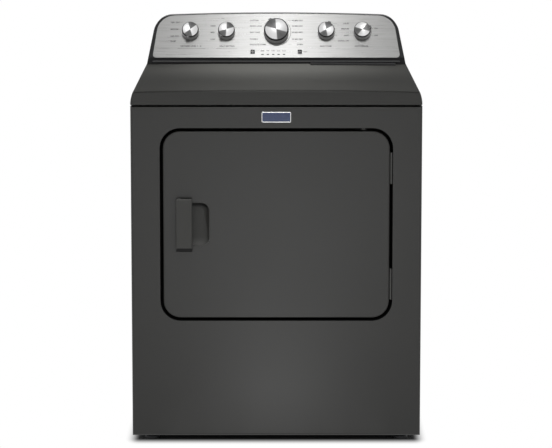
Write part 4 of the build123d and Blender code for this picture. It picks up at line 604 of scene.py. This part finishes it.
def knob(name, body, across, pointer, radius, depth, twist, spun):
    """Turns a knob's profile, adds the tab, and sets it on the fascia at its pointer's angle."""
    cap = radius * CAP_SHARE
    face = depth - FACE_SUNK
    # Each row: radius, height, and the finish of the band up to the next row.
    profile = [(0.0, 0.0, SKIRT), (radius - FOOT_ROUND, 0.0, SKIRT), (radius, FOOT_ROUND, SKIRT),
               (radius - 0.5, depth - 4.0, GROOVE), (radius - 0.9, depth - 2.2, GROOVE),
               (cap + 0.6, depth - 0.3, RIM), (cap + 0.2, depth, RIM), (cap - 0.3, face, FACE),
               (0.0, face, FACE)]
    shape = bmesh.new()
    uv = shape.loops.layers.uv.new("face")
    rows = []
    for distance, height, _ in profile:
        count = 1 if distance == 0.0 else KNOB_TURNS
        rows.append([shape.verts.new((distance * math.sin(2 * math.pi * i / KNOB_TURNS),
                                      distance * math.cos(2 * math.pi * i / KNOB_TURNS), height))
                     for i in range(count)])
    for low, high, (_, _, finish) in zip(rows, rows[1:], profile):
        for i in range(KNOB_TURNS):
            j = (i + 1) % KNOB_TURNS
            corners = [low[i % len(low)], low[j % len(low)],
                       high[j % len(high)], high[i % len(high)]]
            corners = [corner for k, corner in enumerate(corners) if corner not in corners[:k]]
            made = shape.faces.new(corners)
            made.material_index = finish
            made.smooth = True
    tab = bmesh.ops.create_cube(shape, size=1.0)["verts"]
    for corner in tab:
        reach = radius + TAB_REACH if corner.co.y > 0 else radius - TAB_ROOT
        height = depth * (TAB_TOP if corner.co.z > 0 else TAB_FOOT)
        width = TAB_WIDTH / 2 - (TAB_ROUND if corner.co.y > 0 else 0.0)
        corner.co = (math.copysign(width, corner.co.x), reach, height)
    edges = {edge for corner in tab for edge in corner.link_edges}
    bevel = bmesh.ops.bevel(shape, geom=list(edges), offset=TAB_ROUND, segments=2, affect="EDGES")
    for made in bevel["faces"]:
        made.smooth = True
    for made in shape.faces:
        height = made.calc_center_median().z
        if made.material_index == FACE and abs(height - face) > 0.1:
            made.material_index = RIM if height > depth * TAB_PLATED else SKIRT
        for loop in made.loops:
            spot = Matrix.Rotation(-math.radians(twist), 2) @ loop.vert.co.xy
            loop[uv].uv = (0.5 + spot.x / (2 * radius), 0.5 + spot.y / (2 * radius))
    bmesh.ops.recalc_face_normals(shape, faces=shape.faces)
    turn = Matrix.Rotation(-math.radians(pointer), 4, "Z") @ Matrix.Scale(0.001, 4)
    shape.transform(on_fascia(across, KNOB_ROW, KNOB_LIFT) @ turn)
    made = keep(name, shape, (spun, rim_plate, groove_painted_shade, skirt_plate), body)
    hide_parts(body)


# Radius, depth, the wedges' twist from the pointer, and the face's finish.
LARGE_KNOB = (34.5, 22.5, 8.0, spun_large)
SMALL_KNOB = (23.5, 21.5, 0.0, spun_small)
for body, across, pointer, kind in (
        ("cycle_knob", 0.0, 329.0, LARGE_KNOB), ("dryness_knob", -237.0, 198.0, SMALL_KNOB),
        ("heat_knob", -137.5, 219.0, SMALL_KNOB), ("signal_knob", 137.5, 24.0, SMALL_KNOB),
        ("tumble_knob", 237.0, 73.0, SMALL_KNOB)):
    knob(body + "_spun", body, across, pointer, *kind)


# Printing on the fascia: numbers, plain words and lines of grey ink, screen printed and baked,
# a few hundredths of a millimetre proud of the metal.

# Ink: dark grey epoxy, matt, a little uneven where the screen's weave let less through.
ink = grained("grey_screen_ink", "#2A2A2B", "#3A3A3B", 0.0006, 0.00001, Roughness=0.6)
INK_T = 0.06
BOLD = 0.14
LEADER_T = 0.45


def letters(text, size, align):
    """A line of printing as a mesh drawn flat in millimetres, its middle height at zero."""
    curve = bpy.data.curves.new("letters", "FONT")
    curve.body = text
    curve.size = size
    curve.align_x = align
    curve.align_y = "CENTER"
    curve.extrude = INK_T / 2
    curve.offset = BOLD
    curve.resolution_u = 2
    holder = bpy.data.objects.new("letters", curve)
    bpy.context.scene.collection.objects.link(holder)
    drawn = holder.evaluated_get(bpy.context.evaluated_depsgraph_get())
    mesh = bpy.data.meshes.new_from_object(drawn)
    bpy.data.objects.remove(holder)
    return mesh


def slab(shape, x0, x1, y0, y1, z0, z1, place):
    """Adds a box, drawn in millimetres, to a mesh in the making."""
    corners = bmesh.ops.create_cube(shape, size=1.0)["verts"]
    for corner in corners:
        corner.co = place @ (Vector((x1 if corner.co.x > 0 else x0, y1 if corner.co.y > 0 else y0,
                                     z1 if corner.co.z > 0 else z0)) / 1000)


def print_marks(name, words, lines, body="cabinet", colour_of=ink, out=0.0):
    """Prints words, and lines given by two ends, height and thickness."""
    shape = bmesh.new()
    for text, across, up, size, align in words:
        mesh = letters(text, size, align)
        mesh.transform(on_fascia(across, up, out + INK_T / 2) @ Matrix.Scale(0.001, 4))
        shape.from_mesh(mesh)
        bpy.data.meshes.remove(mesh)
    for x0, x1, up, thick in lines:
        slab(shape, x0, x1, up - thick / 2, up + thick / 2, out, out + INK_T, on_fascia(0.0, 0.0))
    keep(name, shape, (colour_of,), body)


WORD = 5.6
TITLE = 6.2
SMALL = 3.4
TITLE_ROW, UNDERLINE_ROW, LENS_ROW = 33.4, 26.6, 19.6
LENS_LEFT, LENS_PITCH = -38.0, 14.8
LEADERS = ((-42.0, -31.0), (31.0, 42.0))
PROGRAMMES = (("COTTON", "60 MIN DRY", 109.6), ("MIXED LOAD", "50 MIN DRY", 93.0),
              ("EASY CARE", "40 MIN DRY", 74.4), ("TOWELS", "30 MIN DRY", 54.0),
              ("DELICATE WARM", "20 MIN", 38.4))
words, lines = [], []
for programme, minutes, up in PROGRAMMES:
    words.append((programme, -73.0, up, WORD, "LEFT"))
    words.append((minutes, 73.6, up, WORD, "RIGHT"))
for _, _, up in (PROGRAMMES[0], PROGRAMMES[-1]):
    lines += [(*ends, up, LEADER_T) for ends in LEADERS]
for text, up, reach in (("VERY DRY", 103.6, -258.0), ("MEDIUM", 83.6, -264.0),
                        ("LESS DRY", 62.9, -262.0), ("DAMP", 48.1, -246.0)):
    words.append((text, -292.0, up, WORD, "LEFT"))
    lines.append((reach - 8.0, reach, up, LEADER_T))
for text, up in (("HIGH", 93.3), ("MED", 74.1), ("LOW", 53.7)):
    words.append((text, -181.5, up, WORD, "LEFT"))
for text, up in (("LOUD", 100.7), ("MEDIUM", 84.8), ("SOFT", 65.0), ("SIGNAL OFF", 49.3)):
    words.append((text, 200.5, up, WORD, "RIGHT"))
    lines.append((158.0, 168.0, up, LEADER_T))
for text, up in (("ON", 85.9), ("OFF", 65.0)):
    words.append((text, 270.5, up, WORD, "LEFT"))
    lines.append((262.5, 268.0, up, LEADER_T))
for text, across in (("DRYNESS LEVEL 1 - 4", -235.5), ("HEAT SETTING", -136.0),
                     ("END TONE", 136.5), ("ANTI CREASE", 234.5)):
    words.append((text, across, TITLE_ROW, TITLE, "CENTER"))
lines += [(-272.0, -196.0, UNDERLINE_ROW, LEADER_T), (-165.0, -108.0, UNDERLINE_ROW, LEADER_T)]
for step, text in enumerate(("SENSE", "WET", "DAMP", "COOL", "DONE")):
    words.append((text, LENS_LEFT + LENS_PITCH * step, LENS_ROW, SMALL, "CENTER"))
BUTTON_ROW = 16.8
words.append(("START", 75.0, BUTTON_ROW, SMALL, "LEFT"))
print_marks("fascia_printing", words, lines)

# Dial ring: a thin grey arc printed round the cycle knob, on the side where its last cycles stand.
grey_ink = grained("mid_grey_screen_ink", "#4C4C4C", "#585858", 0.0006, 0.00001, Roughness=0.6)
RING_R, RING_WIDE = 39.4, 1.3
RING_FROM, RING_TO, RING_STEP, RING_LAP = -100, 35, 5, 0.1
shape = bmesh.new()
for turn in range(RING_FROM, RING_TO, RING_STEP):
    spin = Matrix.Rotation(math.radians(turn), 4, "Z")
    slab(shape, RING_R, RING_R + RING_WIDE, -RING_LAP,
         RING_R * math.radians(RING_STEP) + RING_LAP, 0.0, INK_T, on_fascia(0.0, KNOB_ROW) @ spin)
bmesh.ops.recalc_face_normals(shape, faces=shape.faces)
keep("dial_ring", shape, (grey_ink,), "cabinet")

# The buttons carry their signs in pale ink: a cross, and a bar.
pale_ink = grained("pale_screen_ink", "#E4E4E3", "#F0F0EF", 0.0006, 0.00001, Roughness=0.6)
BUTTON_FACE = 1.8
print_marks("start_button_sign", [],
            [(-68.6, -61.4, BUTTON_ROW, 1.1), (-65.55, -64.45, BUTTON_ROW, 7.2)],
            "start_button", pale_ink, BUTTON_FACE)
print_marks("option_button_sign", [], [(60.2, 69.8, 16.6, 0.9)],
            "option_button", pale_ink, BUTTON_FACE)


# Name plate: a small die cast frame round a plain field of vitreous enamel, stuck to the front
# panel above the door.
navy_enamel = grained("navy_vitreous_enamel", "#162B57", "#1C3363", 0.004, 0.00003, Roughness=0.18)
bright_frame = grained("polished_cast_frame", "#C9CBCD", "#DCDDDE", 0.002, 0.00003, Metallic=1.0,
                       Roughness=0.22)
PLATE = (37.5, 13.5)
PLATE_CENTRE = (0.0, 846.0)
PLATE_CORNER = 3.0
CORNER_STEPS = 6


def rounded(half_x, half_y, radius):
    """Corner points of a rounded rectangle, going round from the right hand upper corner."""
    points = []
    for quarter, (sx, sy) in enumerate(((1, 1), (-1, 1), (-1, -1), (1, -1))):
        for i in range(CORNER_STEPS + 1):
            angle = math.pi / 2 * (quarter + i / CORNER_STEPS)
            points.append((sx * (half_x - radius) + radius * math.cos(angle),
                           sy * (half_y - radius) + radius * math.sin(angle)))
    return points


def stacked(shape, levels, finish_of):
    """Walls through outlines of equal count, each at its own depth, closed at both ends."""
    rows = [[shape.verts.new((x, y, z)) for x, y in outline] for outline, z in levels]
    for level, (low, high) in enumerate(zip(rows, rows[1:])):
        for i in range(len(low)):
            j = (i + 1) % len(low)
            made = shape.faces.new((low[i], low[j], high[j], high[i]))
            made.material_index = finish_of[level]
            made.smooth = True
    shape.faces.new(rows[0][::-1]).material_index = finish_of[0]
    shape.faces.new(rows[-1]).material_index = finish_of[-1]
    bmesh.ops.recalc_face_normals(shape, faces=shape.faces)


def on_front(across, height, front=-350.0):
    """Places a thing drawn flat in x and y, in millimetres, on an upright face at the front."""
    turn = Matrix(((1.0, 0.0, 0.0), (0.0, 0.0, -1.0), (0.0, 1.0, 0.0)))
    return Matrix.Translation(Vector((across, front, height)) / 1000) @ turn.to_4x4()


def plate_outline(inset):
    return rounded(PLATE[0] - inset, PLATE[1] - inset, PLATE_CORNER - inset / 2)


# Each level has an inset and a height: the frame's wall, bevel and top, then the field.
LEVELS = ((0.0, 0.0), (0.0, 0.9), (0.5, 1.5), (1.6, 1.5), (2.0, 1.1))
shape = bmesh.new()
stacked(shape, [(plate_outline(inset), height) for inset, height in LEVELS], (1, 1, 1, 1, 0))
shape.transform(on_front(*PLATE_CENTRE) @ Matrix.Scale(0.001, 4))
plate = keep("name_plate_bare", shape, (navy_enamel, bright_frame), "cabinet")
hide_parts("name_plate")


# Door gasket: an angle strip of black rubber foam, stuck round the walls and floor of the door's
# recess. It is painted shade: a near black strip put there so that the gap round the door is dark;
# it is cut away at the door switch.
gap_shade_foam = grained("expanded_black_rubber", "#0A0A0A", "#121212", 0.0012, 0.0003, Roughness=0.95,
               Specular_IOR_Level=0.1)
RECESS = (296.4, 247.9)
RECESS_CORNER = 51.9
RECESS_MIDDLE = (0.0, 570.0)
LANDING = 312.1
FOAM_T = 1.2
LINING_T = 0.9
TAPE_WIDTH = 13.0
CUT_AWAY = (231.0, 230.0, 214.0, 213.0)
LIP, HINGE_LIP = 345.0, 337.0


def recess_ring(inset):
    """The recess's outline, drawn in, with points where the gasket is cut away."""
    points = rounded(RECESS[0] - inset, RECESS[1] - inset, RECESS_CORNER - inset)
    after_corner = CORNER_STEPS + 1
    points[after_corner:after_corner] = [(x, RECESS[1] - inset) for x in CUT_AWAY]
    return points


shape = bmesh.new()
rows = []
for outer, near, far in zip(recess_ring(0.0), recess_ring(LINING_T), recess_ring(TAPE_WIDTH)):
    tape = near if outer[0] in CUT_AWAY[1:3] else far
    lip = HINGE_LIP if outer[0] > RECESS[0] - 1.0 else LIP
    top = LANDING + FOAM_T
    rows.append([shape.verts.new((x, y, z)) for (x, y), z in (
        (outer, lip), (near, lip), (near, top), (tape, top), (tape, LANDING), (outer, LANDING))])
for low, high in zip(rows, rows[1:] + rows[:1]):
    for i in range(len(low)):
        j = (i + 1) % len(low)
        shape.faces.new((low[i], low[j], high[j], high[i]))
bmesh.ops.dissolve_degenerate(shape, dist=0.0001, edges=shape.edges)
bmesh.ops.recalc_face_normals(shape, faces=shape.faces)
shape.transform(on_front(*RECESS_MIDDLE, front=0.0) @ Matrix.Scale(0.001, 4))
keep("door_gap_shade_strip", shape, (gap_shade_foam,), "cabinet")


# Door: a drawn steel outer skin in the cabinet's enamel, closed behind by a pressed inner panel
# with a soft seal round its edge, and hung on two hinges whose barrels show in the gap.
dress(enamel, "door_outer_panel")
dress(pale_enamel, "door_inner_panel")

# Handle: cast zinc, with a finger cup that is deepest at its top. It is sprayed to match the door,
# in a paint with less gloss against finger marks. Its colour carries painted shade and light: what
# looks down is painted near black, and what looks up is painted paler.
handle_paint, tree, shader = sprayed_enamel("satin_sprayed_handle", "#3A3A38", "#40403E",
                                            0.5, 0.56, 0.06, 0.3)
lie = node(tree, "ShaderNodeTexCoord")
rise = node(tree, "ShaderNodeSeparateXYZ", {0: lie.outputs["Normal"]})
# Painted shade: faces that look down turn near black.
down_painted_shade = node(tree, "ShaderNodeMapRange",
               {"Value": rise.outputs["Z"], "From Min": -0.55, "From Max": -0.2})
spray = shader.inputs["Base Color"].links[0].from_socket
handle_tone_painted_shade_light = node(tree, "ShaderNodeMix",
             {0: down_painted_shade.outputs["Result"], 6: colour("#0A0A0A"), 7: spray}, data_type="RGBA")
# Painted light: faces that look up turn paler.
up_painted_light = node(tree, "ShaderNodeMapRange",
              {"Value": rise.outputs["Z"], "From Min": 0.3, "From Max": 0.8})
handle_tone_painted_shade_light = node(tree, "ShaderNodeMix",
             {0: up_painted_light.outputs["Result"], 6: handle_tone_painted_shade_light.outputs[2], 7: colour("#60605E")},
             data_type="RGBA")
tree.links.new(handle_tone_painted_shade_light.outputs[2], shader.inputs["Base Color"])
dress(handle_paint, "door_handle")

# Hinges: pressed steel with rolled barrels in grey satin steel. Their colour carries painted shade
# for the gap round the door: all that lies deeper than the barrels' backs, and all beside a narrow
# band in the middle of each barrel, is painted near black, so the barrels show as light bars between
# two dark gaps.
BARREL_BACK, GAP_SHADE_EDGE = -0.3432, 0.0005
BARREL_MIDDLE, BARREL_HALF = 0.2916, 0.0020
hinge_steel, tree, shader = surface("hinge_steel_painted_gap_shade", Roughness=0.45, Specular_IOR_Level=0.3)
place = node(tree, "ShaderNodeTexCoord")
depth = node(tree, "ShaderNodeSeparateXYZ", {0: place.outputs["Object"]})
# Painted shade: what lies deeper than the barrel's back turns near black.
deep_painted_shade = node(tree, "ShaderNodeMapRange",
             {"Value": depth.outputs["Y"], "From Min": BARREL_BACK - GAP_SHADE_EDGE,
              "From Max": BARREL_BACK + GAP_SHADE_EDGE})
scuffs = node(tree, "ShaderNodeTexNoise",
              {"Vector": place.outputs["Object"], "Scale": 400.0, "Detail": 2.0})
bare = node(tree, "ShaderNodeValToRGB", {"Fac": scuffs.outputs["Fac"]})
bare.color_ramp.elements[0].color = colour("#434341")
bare.color_ramp.elements[1].color = colour("#4D4D4B")
# Painted shade: beside the narrow band in the barrel's middle it turns near black too.
barrel_middle_band = node(tree, "ShaderNodeMath",
              {0: depth.outputs["X"], 1: BARREL_MIDDLE, 2: BARREL_HALF}, operation="COMPARE")
outer = node(tree, "ShaderNodeMath", {0: 1.0, 1: barrel_middle_band.outputs["Value"]}, operation="SUBTRACT")
dark = node(tree, "ShaderNodeMath",
            {0: deep_painted_shade.outputs["Result"], 1: outer.outputs["Value"]}, operation="MAXIMUM")
hinge_tone_painted_shade = node(tree, "ShaderNodeMix",
              {0: dark.outputs[0], 6: bare.outputs["Color"], 7: colour("#0B0B0B")},
              data_type="RGBA")
tree.links.new(hinge_tone_painted_shade.outputs[2], shader.inputs["Base Color"])
dress(hinge_steel, "door_hinges", "hinge_brackets")


# Studio: a white floor that keeps the machine's shadow, with a painted shadow in its colour under
# the machine, and turns to plain white further off, a soft ceiling and boxes round it, one above the
# camera for the fascia, strips on the floor that the front mirrors, and a room that darkens to the
# sides.

def looked_at(tree):
    """One where the eye or a mirror meets this surface, and none where only light does."""
    ray = node(tree, "ShaderNodeLightPath").outputs
    met = ray["Is Camera Ray"]
    for other in ("Is Glossy Ray", "Is Transmission Ray"):
        met = node(tree, "ShaderNodeMath", {0: met, 1: ray[other]}, operation="MAXIMUM").outputs[0]
    return met


FOOTPRINT = (0.355, 0.29)
SHADE_WIDTH = 0.075
SIDE_QUICKER = 1.9
floor_with_painted_shadow, tree, shader = surface("white_studio_floor", Roughness=0.9)
place = node(tree, "ShaderNodeTexCoord")
past = node(tree, "ShaderNodeVectorMath", {0: place.outputs["Object"]}, operation="ABSOLUTE")
past = node(tree, "ShaderNodeVectorMath",
            {0: past.outputs["Vector"], 1: (*FOOTPRINT, 0.0)}, operation="SUBTRACT")
past = node(tree, "ShaderNodeVectorMath",
            {0: past.outputs["Vector"], 1: (0.0, 0.0, 0.0)}, operation="MAXIMUM")
past = node(tree, "ShaderNodeVectorMath",
            {0: past.outputs["Vector"], 1: (SIDE_QUICKER, 1.0, 1.0)}, operation="MULTIPLY")
away = node(tree, "ShaderNodeVectorMath", {0: past.outputs["Vector"]}, operation="LENGTH")
far = node(tree, "ShaderNodeMapRange",
           {"Value": away.outputs["Value"], "From Max": SHADE_WIDTH},
           interpolation_type="SMOOTHSTEP")
# Painted shadow: the floor's colour turns dark grey under the machine.
tone = node(tree, "ShaderNodeMix",
            {0: far.outputs["Result"], 6: colour("#2A2A2A"), 7: colour("#F6F6F6")},
            data_type="RGBA")
tree.links.new(tone.outputs[2], shader.inputs["Base Color"])
share = node(tree, "ShaderNodeMath",
             {0: looked_at(tree), 1: far.outputs["Result"]}, operation="MULTIPLY")
glow = node(tree, "ShaderNodeEmission", {"Color": (1.0, 1.0, 1.0, 1.0), "Strength": 1.0})
mixed = node(tree, "ShaderNodeMixShader",
             {0: share.outputs["Value"], 1: shader.outputs["BSDF"], 2: glow.outputs["Emission"]})
tree.links.new(mixed.outputs["Shader"], tree.nodes["Material Output"].inputs["Surface"])
shape = bmesh.new()
bmesh.ops.create_grid(shape, x_segments=1, y_segments=1, size=30.0)
mesh = bpy.data.meshes.new("studio_floor")
shape.to_mesh(mesh)
shape.free()
floor = bpy.data.objects.new("studio_floor", mesh)
bpy.context.scene.collection.objects.link(floor)
mesh.materials.append(floor_with_painted_shadow)

room = bpy.data.worlds.new("white_room")
room.use_nodes = True
bpy.context.scene.world = room
tree = room.node_tree
way = node(tree, "ShaderNodeTexCoord")
parts = node(tree, "ShaderNodeSeparateXYZ", {0: way.outputs["Generated"]})
fore = node(tree, "ShaderNodeMapRange",
            {"Value": parts.outputs["Y"], "From Min": -0.3, "From Max": 0.3,
             "To Min": 0.6, "To Max": 0.2})
sideways = node(tree, "ShaderNodeMath", {0: parts.outputs["X"]}, operation="ABSOLUTE")
flank = node(tree, "ShaderNodeMapRange",
             {"Value": sideways.outputs["Value"], "From Min": 0.3, "From Max": 0.85,
              "To Min": 1.0, "To Max": 0.3}, interpolation_type="SMOOTHSTEP")
wall = node(tree, "ShaderNodeMath",
            {0: fore.outputs["Result"], 1: flank.outputs["Result"]}, operation="MULTIPLY")
level = node(tree, "ShaderNodeMix", {0: looked_at(tree), 2: wall.outputs["Value"], 3: 1.0})
sky = tree.nodes["Background"]
sky.inputs["Color"].default_value = (1.0, 1.0, 1.0, 1.0)
tree.links.new(level.outputs[0], sky.inputs["Strength"])


def lamp(name, kind, power, spot, aim, **settings):
    made = bpy.data.lights.new(name, kind)
    made.energy = power
    for setting, value in settings.items():
        setattr(made, setting, value)
    holder = bpy.data.objects.new(name, made)
    holder.location = spot
    holder.rotation_euler = (Vector(aim) - Vector(spot)).to_track_quat("-Z", "Y").to_euler()
    holder.visible_camera = False
    bpy.context.scene.collection.objects.link(holder)
    return holder


# Boxes: power, place, aim, width and height.
for name, power, spot, aim, wide, high in (
        ("ceiling", 5.0, (0.0, -0.1, 3.6), (0.0, -0.1, 0.0), 3.4, 1.2),
        ("back_box", 34.0, (0.0, 2.6, 3.4), (0.0, 0.3, 0.6), 2.0, 1.2),
        ("side_box", 22.0, (-3.0, 0.0, 3.4), (0.0, 0.0, 0.6), 1.6, 1.2),
        ("side_box", 22.0, (3.0, 0.0, 3.4), (0.0, 0.0, 0.6), 1.6, 1.2),
        ("fascia_box", 14.8, (0.0, -2.9, 4.05), (0.0, 0.28, 1.0), 0.35, 0.8)):
    lamp(name, "AREA", power, spot, aim, shape="RECTANGLE", size=wide, size_y=high)

# Two spots model the top panel, and only it, as a flagged lamp does in a studio.
flagged = bpy.data.collections.new("flagged_to_top")
flagged.objects.link(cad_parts["top_panel"])
for name, power, back, cone in (
        ("crown_spot", 800.0, 0.22, 18.0), ("fore_spot", 230.0, -0.31, 14.0)):
    holder = lamp(name, "SPOT", power, (0.0, back, 3.3), (0.0, back, 0.93),
                  spot_size=math.radians(cone), spot_blend=1.0, shadow_soft_size=0.15)
    holder.light_linking.receiver_collection = flagged

# Strips lie on the floor in front and look up. Stacked widths fade their sides.
for name, power, near, far, wide in (
        ("toe_strip_narrow", 0.14, 0.40, 0.75, 0.16), ("toe_strip", 0.20, 0.40, 0.75, 0.34),
        ("toe_strip_wide", 0.19, 0.40, 0.75, 0.56), ("floor_strip", 2.5, 0.75, 3.0, 0.18),
        ("floor_strip_wide", 2.0, 0.75, 3.0, 0.42), ("far_strip", 23.0, 3.0, 7.2, 0.4)):
    middle = -(near + far) / 2
    lamp(name, "AREA", power, (0.0, middle, 0.01), (0.0, middle, 1.0),
         shape="RECTANGLE", size=wide, size_y=far - near)

# Camera: a long lens a little above the machine's top, tipped down.
FOCUS_PIXELS = 2626.0
IMAGE_WIDTH = 552.0
SENSOR = 36.0
CAMERA_SPOT = (-0.0008, -6.968, 1.538)
CAMERA_DIP = 8.3
lens_data = bpy.data.cameras.new("camera")
lens_data.sensor_width = SENSOR
lens_data.sensor_fit = "HORIZONTAL"
lens_data.lens = FOCUS_PIXELS / IMAGE_WIDTH * SENSOR
camera = bpy.data.objects.new("camera", lens_data)
camera.location = CAMERA_SPOT
camera.rotation_euler = (math.radians(90.0 - CAMERA_DIP), 0.0, 0.0)
bpy.context.scene.collection.objects.link(camera)
bpy.context.scene.camera = camera
bpy.context.scene.view_settings.view_transform = "Standard"
